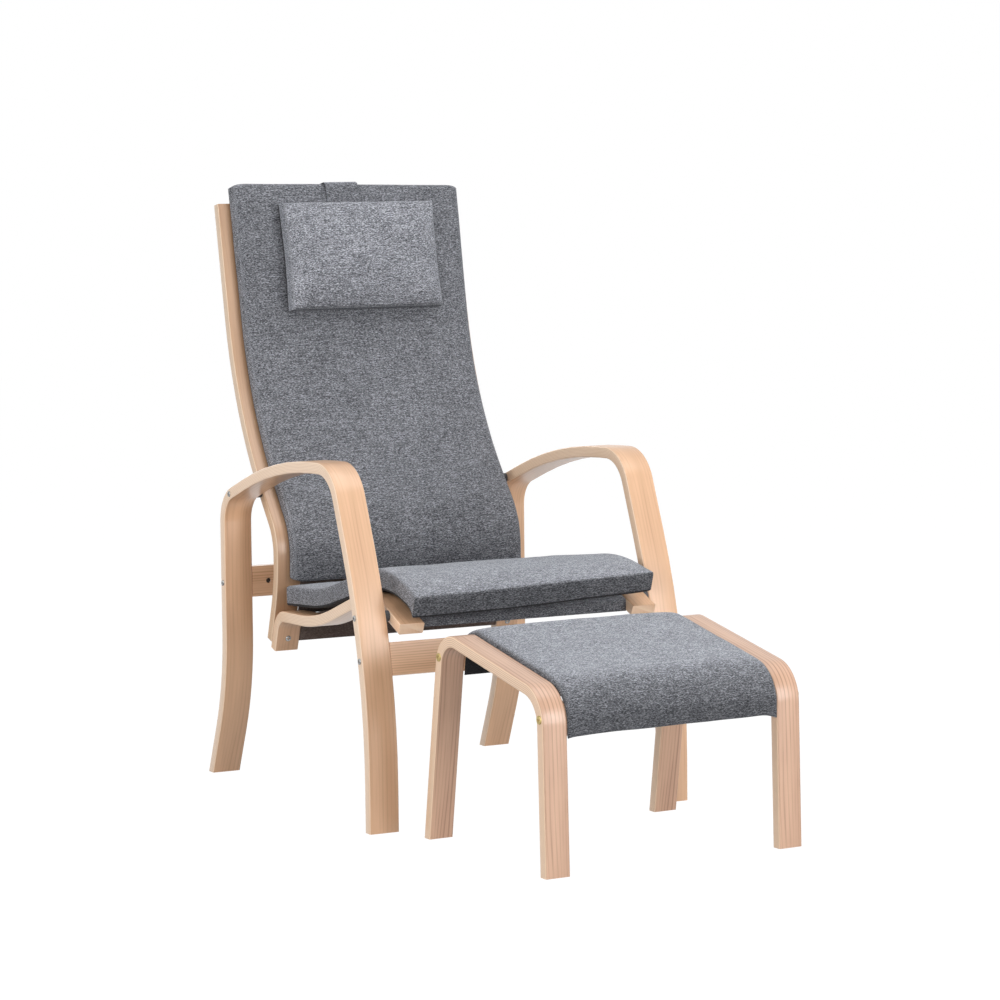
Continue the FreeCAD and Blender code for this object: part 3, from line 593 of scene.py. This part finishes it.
woodStrips = {
    # name: line, side, outer face from the middle, width, thickness, node, material
    "leftArm": ("arm", -1, 0.3250, 0.057, 0.021, "left_arm_frame", stripWood),
    "rightArm": ("arm", 1, 0.3250, 0.057, 0.021, "right_arm_frame", stripWood),
    "leftSeatRail": ("seat", -1, 0.2600, 0.048, 0.021, "left_seat_rail", stripWood),
    "rightSeatRail": ("seat", 1, 0.2600, 0.048, 0.021, "right_seat_rail", stripWood),
    "leftBackRail": ("back", -1, 0.2600, 0.048, 0.021, "left_back_rail", backRailWood),
    "rightBackRail": ("back", 1, 0.2600, 0.048, 0.021, "right_back_rail", backRailWood),
    "stoolLeftStrip": ("stool", -1, 0.2570, 0.047, 0.020, "stool_left_frame", stoolWood),
    "stoolRightStrip": ("stool", 1, 0.2570, 0.047, 0.020, "stool_right_frame", stoolWood),
}
woodSizes = {"edge": 0.0026, "sawLength": 0.03, "footEase": 0.0018}

for stripName, (lineName, side, outer, width, thickness, node, material) in woodStrips.items():
    points = bentLine(chairLines[lineName], thickness / 2)
    standing = lineName in ("arm", "stool")
    if standing:
        points = longer(points, woodSizes["sawLength"])
    strip = makeStrip(stripName, points, side * (outer - width / 2), width, thickness, woodSizes["edge"], material,
                      stoolPlace if lineName == "stool" else chairPlace)
    if standing:
        reworked(strip, sawnAtFloor)
    smoothByAngle(strip, 35)
    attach(strip, "footstool" if lineName == "stool" else "chair")
    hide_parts(node)
print("bent strips made")

# Cushions: panels between held rims, swollen by a cloth simulation


def rimInset(distance, radius):
    # How far a rounded rim falls back at this distance from the edge
    if distance >= radius:
        return 0.0
    return radius - math.sqrt(radius * radius - (radius - distance) ** 2)


def panelStops(length, radius, step):
    # Places across a panel, close together on its rounded rims
    rim = [radius * share for share in (0.0, 0.14, 0.45, 1.0)]
    count = max(2, round((length - 2 * radius) / step))
    inside = [radius + (length - 2 * radius) * k / count for k in range(1, count)]
    return rim + inside + [length - place for place in rim[::-1]]


class Run:
    # A side-view line with its normals, read by the length along it
    def __init__(self, corners):
        self.points = evenly(bentLine(corners, 0.0), 0.004)
        self.reach = [0.0]
        for a, b in zip(self.points, self.points[1:]):
            self.reach.append(self.reach[-1] + math.dist(a, b))
        self.length = self.reach[-1]
        self.normals = normalsOf(self.points)

    def at(self, place, depth):
        i = 0
        while i < len(self.points) - 2 and self.reach[i + 1] < place:
            i += 1
        share = (place - self.reach[i]) / (self.reach[i + 1] - self.reach[i])
        (y, z), (ny, nz) = (
            [a + (b - a) * share for a, b in zip(*pair[i:i + 2])] for pair in (self.points, self.normals))
        return y + ny * depth, z + nz * depth


rims = {}
cushionCorner = {"drawFrom": 0.86, "drawReach": 0.14, "rearRound": 0.003, "underLevel": 0.22}


def cushionForm(name, settings):
    # Front panel, rear panel and the band between them, with everything but the front panel held
    run = Run(settings["line"])
    half, radius, rearRound = settings["halfWidth"], settings["sideRound"], cushionCorner["rearRound"]
    acrossStops = panelStops(2 * half, radius, settings["step"])
    alongStops = panelStops(run.length, settings["endRound"], settings["step"])
    columns, rows = len(acrossStops), len(alongStops)
    verts, faces, free = [], [], []

    def corner(a, b, front, level=0.0):
        # front and rear panel points, or a point of the band at a level between them
        fromSide, fromEnd = min(a, 2 * half - a), min(b, run.length - b)
        share = abs(a - half) / half
        draw = settings["endDraw"] * max(0.0, (share - cushionCorner["drawFrom"]) / cushionCorner["drawReach"]) ** 4
        past = draw + settings["farDraw"][0] + (settings["farDraw"][1] - settings["farDraw"][0]) * a / (2 * half)
        along = draw + (run.length - draw - past) * b / run.length
        pull = settings["sidePull"][a > half] * math.sin(math.pi * b / run.length) * share
        frontInset = min(max(radius, settings["endRound"]), math.hypot(
            rimInset(fromSide, radius), rimInset(fromEnd, settings["endRound"])))
        rearInset = min(rearRound, math.hypot(rimInset(fromSide, rearRound), rimInset(fromEnd, rearRound)))
        rise = math.sin(math.pi / 2 * min(1.0, fromSide / settings["crownReach"]))
        rise *= math.sin(math.pi / 2 * min(1.0, fromEnd / settings["crownReach"]))
        far = settings["lift"] + settings["thickness"] - frontInset - settings["crown"] * (1.0 - rise)
        near = settings["lift"] + rearInset
        if "nearLift" in settings:
            across = a / (2 * half)
            (low, high), (leftDroop, rightDroop) = settings["nearLift"], settings["droop"]
            raised = (low + (high - low) * across) * max(0.0, 1.0 - b / settings["nearReach"]) ** 2
            hang = (leftDroop + (rightDroop - leftDroop) * across) * max(0.0, 1.0 - b / settings["overhang"])
            near, far = near + max(0.0, raised) - hang, far + raised
        depth = far + (near - far) * level if front else near
        y, z = run.at(along, depth)
        x = settings["centreX"] - half + a
        return x + (pull if a < half else -pull), y, z

    for front in (True, False):
        for i, a in enumerate(acrossStops):
            for j, b in enumerate(alongStops):
                verts.append(corner(a, b, front))
                inside = min(i, columns - 1 - i, j, rows - 1 - j)
                free.append(min(1.0, max(0.0, (inside - 2) / 2)) if front else 0.0)
    for side in (0, 1):
        for i in range(columns - 1):
            for j in range(rows - 1):
                first = side * columns * rows + i * rows + j
                faces.append((first, first + rows, first + rows + 1, first + 1))
    ring = [(i, 0) for i in range(columns)] + [(columns - 1, j) for j in range(1, rows)]
    ring += [(i, rows - 1) for i in range(columns - 2, -1, -1)] + [(0, j) for j in range(rows - 2, 0, -1)]
    levels = [[i * rows + j for i, j in ring]]
    for k in range(1, settings["bandRows"]):
        level = k / (settings["bandRows"] - 1) * (1.0 - settings["liningAndShadeShare"])
        levels.append(range(len(verts), len(verts) + len(ring)))
        verts += [corner(acrossStops[i], alongStops[j], True, level) for i, j in ring]
        free += [0.0] * len(ring)
    levels.append([columns * rows + i * rows + j for i, j in ring])
    # the rear panel and the band's last row take the black lining: the lining under the cushion, and on the last row
    # partly painted shade along the cushion's rear rim
    lined = len(faces) // 2, len(faces)
    for upper, lower in zip(levels, levels[1:]):
        if lower is levels[-1]:
            lined += (len(faces),)
        for k in range(len(ring)):
            after = (k + 1) % len(ring)
            faces.append((upper[k], upper[after], lower[after], lower[k]))

    def rimLine(spots):
        return [Vector(corner(*spot)) + frontPlace for spot in spots]

    rims[name] = {
        "left": rimLine((acrossStops[1], b, True) for b in alongStops[1:-1]),
        "right": rimLine((acrossStops[-2], b, True) for b in alongStops[1:-1]),
        "near": rimLine((a, alongStops[1], True) for a in acrossStops[1:-1]),
        "far": rimLine((a, alongStops[-2], True) for a in acrossStops[1:-1]),
        "nearLeft": rimLine((0.0, 0.0, True, k / 8) for k in range(9)),
        "nearRight": rimLine((2 * half, 0.0, True, k / 8) for k in range(9)),
        # under: where the painted shadow cord under the pillow runs
        "under": rimLine((a, 0.0, True, cushionCorner["underLevel"]) for a in acrossStops[1:-1]),
    }
    piece = plainPiece(name + "Form", verts, faces, chairPlace, [settings["cloth"], liningCloth])
    for face in piece.data.polygons:
        face.material_index = int(lined[0] <= face.index < lined[1] or face.index >= lined[2])
    reworked(piece, merged)
    held = piece.vertex_groups.new(name="held")
    for index, value in enumerate(free):
        held.add([index], 1.0 - value, "REPLACE")
    return piece


def movePoints(piece, places):
    piece.data.vertices.foreach_set("co", [number for place in places for number in place])
    piece.data.update()


swellFrames = 20


def swollen(piece, settings):
    cloth = piece.modifiers.new("swell", "CLOTH")
    for key, value in {
            "quality": 5, "mass": 0.3, "tension_stiffness": settings["stiffness"],
            "compression_stiffness": settings["stiffness"], "bending_stiffness": settings["bending"],
            "use_pressure": True, "uniform_pressure_force": settings["pressure"]}.items():
        setattr(cloth.settings, key, value)
    cloth.settings.effector_weights.gravity = 0.0
    if "held" in piece.vertex_groups:
        cloth.settings.vertex_group_mass = "held"
    cloth.collision_settings.use_collision = False
    cloth.point_cache.frame_start, cloth.point_cache.frame_end = 1, swellFrames
    for number in range(1, swellFrames + 1):
        scene.frame_set(number)
    evaluated = piece.evaluated_get(bpy.context.evaluated_depsgraph_get())
    blown = [vertex.co.copy() for vertex in evaluated.data.vertices]
    piece.modifiers.remove(cloth)
    scene.frame_set(1)
    moved = []
    for vertex, after in zip(piece.data.vertices, blown):
        step = after - vertex.co
        if step.length > settings["cap"]:
            step = step.normalized() * settings["cap"]
        moved.append(vertex.co + step)
    movePoints(piece, moved)


def creased(piece, settings):
    # Soft unevenness of the foam and the cover, along the surface normal
    seed = Vector(settings["seed"])
    held = piece.vertex_groups.get("held")
    moved = []
    for vertex in piece.data.vertices:
        place, scale = vertex.co, settings["broadScale"]
        height = noise.noise(place * scale + seed) * settings["broad"]
        height += noise.noise(place * scale * 4.3 + seed) * settings["small"]
        if held:
            height *= 1.0 - held.weight(vertex.index) * 0.75
        moved.append(place + vertex.normal * height)
    movePoints(piece, moved)


def subdivided(piece, name):
    finer = piece.modifiers.new("finer", "SUBSURF")
    finer.levels = finer.render_levels = 1
    return baked(piece, name)


def makeCushion(name, node, body, settings, ready=None):
    piece = ready or cushionForm(name, settings)
    swollen(piece, settings)
    creased(piece, settings)
    piece = subdivided(piece, name)
    piece.data.shade_smooth()
    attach(piece, body)
    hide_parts(node)
    print(name, "made with", len(piece.data.polygons), "faces")
    return piece


upperWay = way(chairLines["back"][1][:2], chairLines["back"][0][:2])
upperTop = chairLines["back"][0]


def alongUpper(rise, behind, radius=0.0):
    # A place on the straight upper back: above the rail's top, and behind its front face
    return (upperTop[0] + upperWay[0] * rise + upperWay[1] * behind,
            upperTop[1] + upperWay[1] * rise - upperWay[0] * behind, radius)


cushionSettings = {
    "lift": 0.0, "farDraw": (0.0, 0.0), "pressure": 4.0, "stiffness": 12.0, "bending": 0.6, "cloth": greyCloth,
}
seatCushionSettings = {
    **cushionSettings,
    "line": fitRadii([(-0.0170, 0.38993, 0.0), (0.10265, 0.42873, 0.28014), (0.37632, 0.35258, 0.4830),
                      (0.5331, 0.34243, 0.0)]),
    "thickness": 0.0372, "halfWidth": 0.2405, "centreX": -0.0025, "sideRound": 0.0050, "endRound": 0.0045,
    "endDraw": 0.0030, "sidePull": (0.0020, 0.0020), "crown": 0.0, "crownReach": 0.070, "bandRows": 5,
    "liningAndShadeShare": 0.03, "step": 0.0085, "cap": 0.0030,
    # its near edge, left and right: raised at the front, and hanging where it stands out past the rails
    "nearLift": (-0.0065, 0.0095), "nearReach": 0.13, "droop": (0.0115, 0.0025), "overhang": 0.017,
    "broad": 0.0020, "small": 0.0007, "broadScale": 11.0, "seed": (3.1, 0.4, 7.7), "fill": 0.75,
}
backCushionSettings = {
    **cushionSettings,
    "line": fitRadii([(0.5335, 0.3885, 0.0), chairLines["back"][2], chairLines["back"][1], alongUpper(0.037, 0.0)]),
    "lift": 0.0004, "thickness": 0.0300, "halfWidth": 0.2450, "centreX": 0.0080, "sideRound": 0.0120,
    "endRound": 0.0060, "endDraw": 0.0070, "farDraw": (0.0015, 0.0105), "sidePull": (0.0015, 0.0040),
    "crown": 0.0040, "crownReach": 0.080, "bandRows": 4, "liningAndShadeShare": 0.12, "step": 0.0085, "cap": 0.0034,
    "broad": 0.0024, "small": 0.0008, "broadScale": 9.0, "seed": (1.2, 5.4, 2.6), "fill": 0.7,
}
pillowSettings = {
    **cushionSettings, "cloth": pillowCloth,
    "line": [alongUpper(-0.2210, 0.0), alongUpper(-0.0115, 0.0)],
    "lift": 0.0337, "thickness": 0.0440, "halfWidth": 0.1625, "centreX": 0.0125, "sideRound": 0.0050,
    "endRound": 0.0050, "endDraw": -0.0010, "sidePull": (0.0030, 0.0030), "crown": 0.0140, "crownReach": 0.060,
    "bandRows": 4, "liningAndShadeShare": 0.16, "step": 0.0070, "bending": 0.5, "cap": 0.0060,
    "broad": 0.0020, "small": 0.0008, "broadScale": 14.0, "seed": (8.2, 2.4, 0.6), "fill": 0.8,
}
pouchSettings = {
    **cushionSettings,
    "line": [alongUpper(-0.0960, 0.0), alongUpper(-0.2060, 0.0)],
    "lift": 0.0213, "thickness": 0.0135, "halfWidth": 0.0450, "centreX": -0.0070, "sideRound": 0.0040,
    "endRound": 0.0040, "endDraw": 0.0020, "sidePull": (0.0010, 0.0010), "crown": 0.0030, "crownReach": 0.030,
    "bandRows": 3, "liningAndShadeShare": 0.20, "step": 0.0050, "bending": 0.5, "cap": 0.0030,
    "broad": 0.0008, "small": 0.0003, "broadScale": 20.0, "seed": (6.6, 0.2, 1.9), "fill": 0.6,
}
stoolPadSettings = {
    "pressure": 4.0, "stiffness": 20.0, "bending": 1.0, "cap": 0.0016, "cloth": padCloth,
    "broad": 0.0009, "small": 0.0004, "broadScale": 16.0, "seed": (4.9, 9.1, 3.3), "fill": 0.8,
    "halfWidth": 0.2097, "under": 0.0021, "foamUnder": 0.0200, "frontHem": 0.2305, "rearHem": 0.2965,
    "foamFront": 0.062, "foamRear": 0.314, "foamEase": 0.010, "step": 0.007, "endEase": 4.0,
    "hemWave": 0.0034, "waves": 26.0, "gather": 0.0048, "gatherFrom": 0.90,
    # share of the half width: how far the cover stands above the frame
    "crown": [(1.0, 0.0006), (0.996, 0.0034), (0.986, 0.0056), (0.966, 0.0071), (0.93, 0.0080), (0.86, 0.0087),
              (0.74, 0.0092), (0.56, 0.0096), (0.38, 0.0098), (0.19, 0.0099), (0.0, 0.0100)],
}


def stoolPadForm(settings):
    # A cover over both rails with foam between them, as stations across the footstool
    dense = evenly(bentLine(chairLines["stool"], 0.0), 0.002)
    base = keptPart(dense, lambda y, z: z >= (settings["frontHem"] if y < 0.2 else settings["rearHem"]))
    picked = [base[0]]
    for point in base[1:]:
        if math.dist(point, picked[-1]) >= settings["step"]:
            picked.append(point)
    picked[-1] = base[-1]
    crown = settings["crown"]
    stations = [(-share, proud) for share, proud in crown] + crown[-2::-1]
    count = len(picked)

    def hemDrop(x, i):
        # The hem waves a little, and is gathered lower at its corners
        if i not in (0, count - 1):
            return 0.0
        ripple = settings["hemWave"] * noise.noise(Vector((x * settings["waves"], 3.0 * (i > count / 2), 0.0)))
        beyond = max(0.0, abs(x) / settings["halfWidth"] - settings["gatherFrom"]) / (1 - settings["gatherFrom"])
        return ripple - settings["gather"] * beyond

    places = list(zip(range(count), picked, normalsOf(picked)))
    verts, faces = [], []
    for share, proud in stations:
        x = share * settings["halfWidth"]
        for i, (y, z), (ny, nz) in places:
            ease = min(1.0, (min(i, count - 1 - i) + 0.4) / settings["endEase"])
            verts.append((x, y - ny * proud * ease, z - nz * proud * ease + hemDrop(x, i)))
        for i, (y, z), (ny, nz) in places:
            inside = min(y - settings["foamFront"], settings["foamRear"] - y) / settings["foamEase"]
            depth = settings["under"] + (settings["foamUnder"] - settings["under"]) * min(1.0, max(0.0, inside))
            verts.append((x, y + ny * depth, z + nz * depth + hemDrop(x, i)))
    for k in range(len(stations) - 1):
        a, b = k * count * 2, (k + 1) * count * 2
        for i in range(count - 1):
            faces.append((a + i, a + i + 1, b + i + 1, b + i))
            faces.append((a + count + i, b + count + i, b + count + i + 1, a + count + i + 1))
        faces.append((a, b, b + count, a + count))
        faces.append((a + count - 1, a + 2 * count - 1, b + 2 * count - 1, b + count - 1))
    for a in (0, (len(stations) - 1) * count * 2):
        for i in range(count - 1):
            faces.append((a + i, a + count + i, a + count + i + 1, a + i + 1))
    source = plainPiece("stoolPadStart", verts, faces, stoolPlace, [settings["cloth"]])
    reworked(source, merged)
    return subdivided(source, "stoolPadSkin")


seatCushion = makeCushion("seatCushion", "seat_cushion", "chair", seatCushionSettings)
backCushion = makeCushion("backCushion", "back_cushion", "chair", backCushionSettings)
headrestPillow = makeCushion("headrestPillow", "headrest_pillow", "headrest", pillowSettings)
makeCushion("stoolPad", "stool_cushion", "footstool", stoolPadSettings, stoolPadForm(stoolPadSettings))
makeCushion("counterweightPouch", "headrest_counterweight", "counterweight", pouchSettings)
print("cushions made")

# Slings, covers, strap and lining, each a thin sheet that follows its line

slingSettings = {"width": 0.4234, "thickness": 0.002, "step": 0.012}


def runLength(points, closed=False):
    pairs = list(zip(points, points[1:])) + ([(points[-1], points[0])] if closed else [])
    return sum(math.dist(a, b) for a, b in pairs)


def makeSheet(name, node, body, points, centreX, settings, material, place=chairPlace,
              cyclic=False):
    piece = makeStrip(name, points, centreX, settings["width"], settings["thickness"],
                      settings["thickness"] * 0.45, material, place, cyclic)
    smoothByAngle(piece, 50)
    if body:
        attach(piece, body)
    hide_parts(node)
    runLength(points, cyclic)
    return piece


seatSlingLine = bentLine(fitRadii([
    (0.0870, 0.4130, 0.0), (0.5330, 0.3197, 0.004), (0.5508, 0.3197, 0.003), (0.5663, 0.2721, 0.003),
    (0.5470, 0.2721, 0.003), (0.5322, 0.3165, 0.0)]), 0.0)
makeSheet("seatSling", "seat_sling", "chair", evenly(seatSlingLine, slingSettings["step"]), 0.0, slingSettings,
          brownCloth)

# painted shade: the sling runs on lower than the model's own sling, down to z 0.3225, a dark tail in the shaded gap
# between the cushions
backSlingLine = keptPart(evenly(bentLine(chairLines["back"], 0.0013), 0.006),
                         lambda y, z: 0.3225 <= z <= 1.0790)
makeSheet("backSling", "back_sling", "chair", backSlingLine, 0.0, slingSettings, brownCloth)

coverSettings = {"front": 0.0284, "rear": 0.0876, "over": 0.0013, "under": 0.0197, "fine": 0.0002, "step": 0.0045}


def coverRun(depth):
    # The rail's line at a depth, from the bar's rear to its front
    fine = evenly(bentLine(chairLines["seat"], depth), coverSettings["fine"])
    run = keptPart(fine, lambda y, z: coverSettings["front"] <= y <= coverSettings["rear"])
    stride = round(coverSettings["step"] / coverSettings["fine"])
    return run[:-1:stride] + run[-1:]


makeSheet("frontBarCover", "front_bar_cover", "chair",
          coverRun(coverSettings["over"]) + coverRun(coverSettings["under"])[::-1], 0.0, slingSettings, greyCloth,
          cyclic=True)

strapSettings = {"width": 0.070, "thickness": 0.002, "shift": -0.007, "bend": 0.0113, "rise": 0.0335}
strapPath = [
    alongUpper(-0.0122, -0.0330), alongUpper(strapSettings["rise"], -0.0330, strapSettings["bend"]),
    alongUpper(strapSettings["rise"], 0.0283, strapSettings["bend"]), alongUpper(-0.0957, 0.0283)]
strapTop = alongUpper(strapSettings["rise"], -0.0023)[:2]


def strapHalves(depth, step):
    # The strap's run in front of the back and behind it, parted in the middle of its top
    run = evenly(bentLine(strapPath, depth), step)
    middle = min(range(len(run)), key=lambda i: math.dist(run[i], strapTop))
    return run[:middle + 1], run[middle:]


def followStrap(piece, front):
    # It lies over the chair's back; its transform is baked into its mesh
    (bodyA, bodyB), places = (("headrest", "chair"), (-0.0105, 0.0225)) if front else (
        ("chair", "counterweight"), (0.0200, -0.0800))
    depth = -0.0330 if front else 0.0283
    start, end = ((0.0, y + frontY, z) for y, z, _ in (alongUpper(rise, depth) for rise in places))
    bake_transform(piece)


for strapName, strapRun, front, restsOn in zip(("strapFront", "strapRear"), strapHalves(0.001, 0.008),
                                               (True, False), ("headrestPillow", "counterweightPouch")):
    followStrap(makeSheet(strapName, "headrest_strap", None, strapRun, strapSettings["shift"], strapSettings,
                          greyCloth), front)

liningSheet = {"width": 0.4194, "thickness": 0.0016}
liningLine = keptPart(evenly(bentLine(chairLines["stool"], 0.0221), 0.006), lambda y, z: y >= 0.0544 and z >= 0.293)
makeSheet("stoolLining", "stool_lining", "footstool", liningLine, 0.0, liningSheet, liningCloth,
          place=stoolPlace)
print("sheets made")

# Seams: a thin welt with stitches on it, along lines laid on the finished cloth. The welt is of the cushion's own
# cloth, and dark at the seat's near corners and along the strap; the thick dark cord under the pillow is a painted
# shadow

seamSizes = {
    "sink": 0.0003, "weltRadius": 0.0007, "spacing": 0.0042, "stitchLength": 0.0028, "threadRadius": 0.00042,
}


def makeSeamTree():
    tree, (line, welt, spacing, length, thread, lean, facing, cloth, yarn) = newTree("seam", {
        "Geometry": "Geometry", "weltRadius": "Float", "spacing": "Float", "stitchLength": "Float",
        "threadRadius": "Float", "lean": "Float", "facing": "Vector", "weltCloth": "Material",
        "thread": "Material"})
    ring = addNode(tree, "GeometryNodeCurvePrimitiveCircle", {"Resolution": 6, "Radius": welt})
    cord = addNode(tree, "GeometryNodeCurveToMesh", {"Curve": line, "Profile Curve": ring, "Fill Caps": True})
    dots = addNode(tree, "GeometryNodeResampleCurve", {"Curve": line, "Length": spacing}, mode="LENGTH")
    tangent = addNode(tree, "GeometryNodeInputTangent")
    turn = addNode(tree, "FunctionNodeAxesToRotation", {0: facing, 1: tangent}, primary_axis="Z", secondary_axis="X")
    slant = addNode(tree, "FunctionNodeAxisAngleToRotation", {"Axis": (0.0, 0.0, 1.0), "Angle": lean})
    turn = addNode(tree, "FunctionNodeRotateRotation", {0: turn, 1: slant}, rotation_space="LOCAL")
    bead = addNode(tree, "GeometryNodeMeshUVSphere", {"Segments": 6, "Rings": 4, "Radius": 1.0})
    stitches = addNode(tree, "GeometryNodeInstanceOnPoints", {
        "Points": dots, "Instance": bead, "Rotation": turn, "Scale": together(length * 0.5, thread, thread)})
    lifted = addNode(tree, "ShaderNodeVectorMath", {0: facing, "Scale": welt + thread * 0.2}, operation="SCALE")
    raised = addNode(tree, "GeometryNodeTranslateInstances", {
        "Instances": stitches, "Translation": lifted, "Local Space": False})
    whole = addNode(tree, "GeometryNodeRealizeInstances", {"Geometry": raised})
    join = addNode(tree, "GeometryNodeJoinGeometry", {0: [painted(whole, yarn), painted(cord, cloth)]})
    addNode(tree, "NodeGroupOutput", {0: join}, None)
    return tree


seamTree = makeSeamTree()


def makeSeam(name, lines, facing, lean=0.0, cloth=greyCloth, thicker=1.0):
    return grown(name, seamTree, lines, {
        **seamSizes, "weltRadius": seamSizes["weltRadius"] * thicker, "lean": math.radians(lean),
        "facing": facing, "weltCloth": cloth, "thread": seamThread})


def rimSeam(piece, sides, *how):
    # Along rims of a cushion, laid onto its finished surface and a little into it
    lines = []
    for side in sides:
        spots = [piece.closest_point_on_mesh(point) for point in rims[piece.name][side]]
        lines.append([place - normal * seamSizes["sink"] for _, place, normal, _ in spots])
    return makeSeam(piece.name + "Seam", lines, *how)


def joined(name, parts, body):
    # One mesh for each body, with each part's own materials
    work, materials = bmesh.new(), []
    for part in parts:
        for material in part.data.materials:
            if material not in materials:
                materials.append(material)
        for face in part.data.polygons:
            face.material_index = materials.index(part.data.materials[face.material_index])
        work.from_mesh(part.data)
    for part in parts:
        bpy.data.objects.remove(part)
    piece = plainPiece(name, [], [], Matrix.Identity(4), materials)
    work.to_mesh(piece.data)
    work.free()
    smoothByAngle(piece, 60)
    if body:
        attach(piece, body)
    return piece


upperFacing = (0.0, -upperWay[1], upperWay[0])
joined("chairSeams", [
    rimSeam(backCushion, ["left"], upperFacing, 50.0),
    rimSeam(backCushion, ["right", "far", "near"], upperFacing),
    rimSeam(seatCushion, ["left", "right", "near"], (0.0, -0.3, 0.954)),
    rimSeam(seatCushion, ["nearLeft", "nearRight"], (-0.5, -0.8, -0.3), 0.0, seamCloth),
], "chair")
joined("headrestSeams", [
    rimSeam(headrestPillow, ["left", "right", "near", "far"], upperFacing, 0.0, pillowCloth),
    # painted shadow: a thick dark cord along the pillow's lower rim
    rimSeam(headrestPillow, ["under"], upperFacing, 0.0, seamCloth, 2.2),
], "headrest")
strapSides = [strapSettings["shift"] + side * (strapSettings["width"] / 2 - 0.0008) for side in (-1, 1)]
for strapName, strapRun, front in zip(("strapFrontEdges", "strapRearEdges"), strapHalves(0.0, 0.004), (True, False)):
    edges = [[(x, y + frontY, z) for y, z in strapRun] for x in strapSides]
    followStrap(joined(strapName, [makeSeam(strapName + "Line", edges, upperFacing, 0.0, seamCloth)], None), front)
print("seams made")

# Floor, backdrop and light

lightSettings = {"world": 0.04, "paper": 0.40, "floorGlow": 0.86, "glowStrength": 1.160, "floorReach": 12.0}
lampAim = (0.0, 0.10, 0.45)     # with Y from the front feet, as the lamps' places
lampSettings = {
    # name: watts, size, place
    "overheadSoftbox": (26.6, 1.8, (0.25, -0.30, 2.50)),
    "frontLeftSoftbox": (55.4, 1.6, (-2.40, -2.60, 1.20)),
    "frontRightSoftbox": (64.0, 1.6, (1.40, -3.10, 1.05)),
    "rightSoftbox": (15.3, 1.6, (2.60, 0.00, 1.30)),
    "leftSoftbox": (32.1, 1.6, (-2.60, 0.60, 1.40)),
    "rearSoftbox": (14.0, 1.6, (0.40, 3.20, 1.60)),
}


def makeLamp(name, watts, size, place):
    lamp = bpy.data.lights.new(name, "AREA")
    lamp.energy, lamp.size = watts, size
    box = bpy.data.objects.new(name, lamp)
    fromPoint, toPoint = (Vector(point) + frontPlace for point in (place, lampAim))
    box.location = fromPoint
    box.rotation_mode = "QUATERNION"
    box.rotation_quaternion = (fromPoint - toPoint).to_track_quat("Z", "Y")
    box.visible_camera = False
    scene.collection.objects.link(box)


def anyRay(tree, *kinds):
    # 1 for rays of any of these kinds, 0 for the rest
    seen = 0.0
    for kind in kinds:
        seen = calc("MAXIMUM", addNode(tree, "ShaderNodeLightPath", None, "Is " + kind + " Ray"), seen)
    return seen


def makeStage(settings):
    material, tree = newMaterial("paperFloor")
    paper = addNode(tree, "ShaderNodeBsdfDiffuse", {"Color": (settings["paper"],) * 3})
    glow = addNode(tree, "ShaderNodeEmission", {"Color": (1.0, 1.0, 1.0), "Strength": settings["glowStrength"]})
    seen = anyRay(tree, "Camera", "Glossy", "Transmission") * settings["floorGlow"]
    mixed = addNode(tree, "ShaderNodeMixShader", {0: seen, 1: paper, 2: glow})
    addNode(tree, "ShaderNodeOutputMaterial", {"Surface": mixed}, None)
    reach = settings["floorReach"]
    corners = [(-reach, -reach, 0), (reach, -reach, 0), (reach, reach, 0), (-reach, reach, 0)]
    floor = plainPiece("floor", corners, [(0, 1, 2, 3)], Matrix.Identity(4), [material])
    world = bpy.data.worlds.new("studio")
    world.use_nodes = True
    tree = world.node_tree
    tree.nodes.clear()
    soft, white = (addNode(tree, "ShaderNodeBackground", {"Color": (1.0, 1.0, 1.0), "Strength": strength})
                   for strength in (settings["world"], 1.0))
    mixed = addNode(tree, "ShaderNodeMixShader", {0: anyRay(tree, "Camera", "Glossy"), 1: soft, 2: white})
    addNode(tree, "ShaderNodeOutputWorld", {"Surface": mixed}, None)
    scene.world = world


for lampName, lampValues in lampSettings.items():
    makeLamp(lampName, *lampValues)
makeStage(lightSettings)
print("stage and light made")

# Finishes of the CAD nodes that stay

keptFinishes = [
    (boardWood, ("rear_cross_rail", "front_cross_rail", "seat_front_bar", "seat_rear_bar", "back_top_bar",
                 "back_middle_bar", "back_lower_bar", "bar_dowels", "stool_front_rail", "stool_rear_rail")),
    (brightZinc, ("rail_insert_nuts", "cross_rail_barrel_nuts", "hook_bolts", "hook_nuts", "arm_to_back_bolts",
                  "arm_to_seat_bolts", "rear_rail_bolts", "front_rail_bolts", "stool_barrel_nuts")),
    (yellowZinc, ("stool_bolts",)),
    (blackNylon, ("rail_spacers",)),
]
for material, nodeNames in keptFinishes:
    for nodeName in nodeNames:
        nodes[nodeName].data.materials.clear()
        nodes[nodeName].data.materials.append(material)
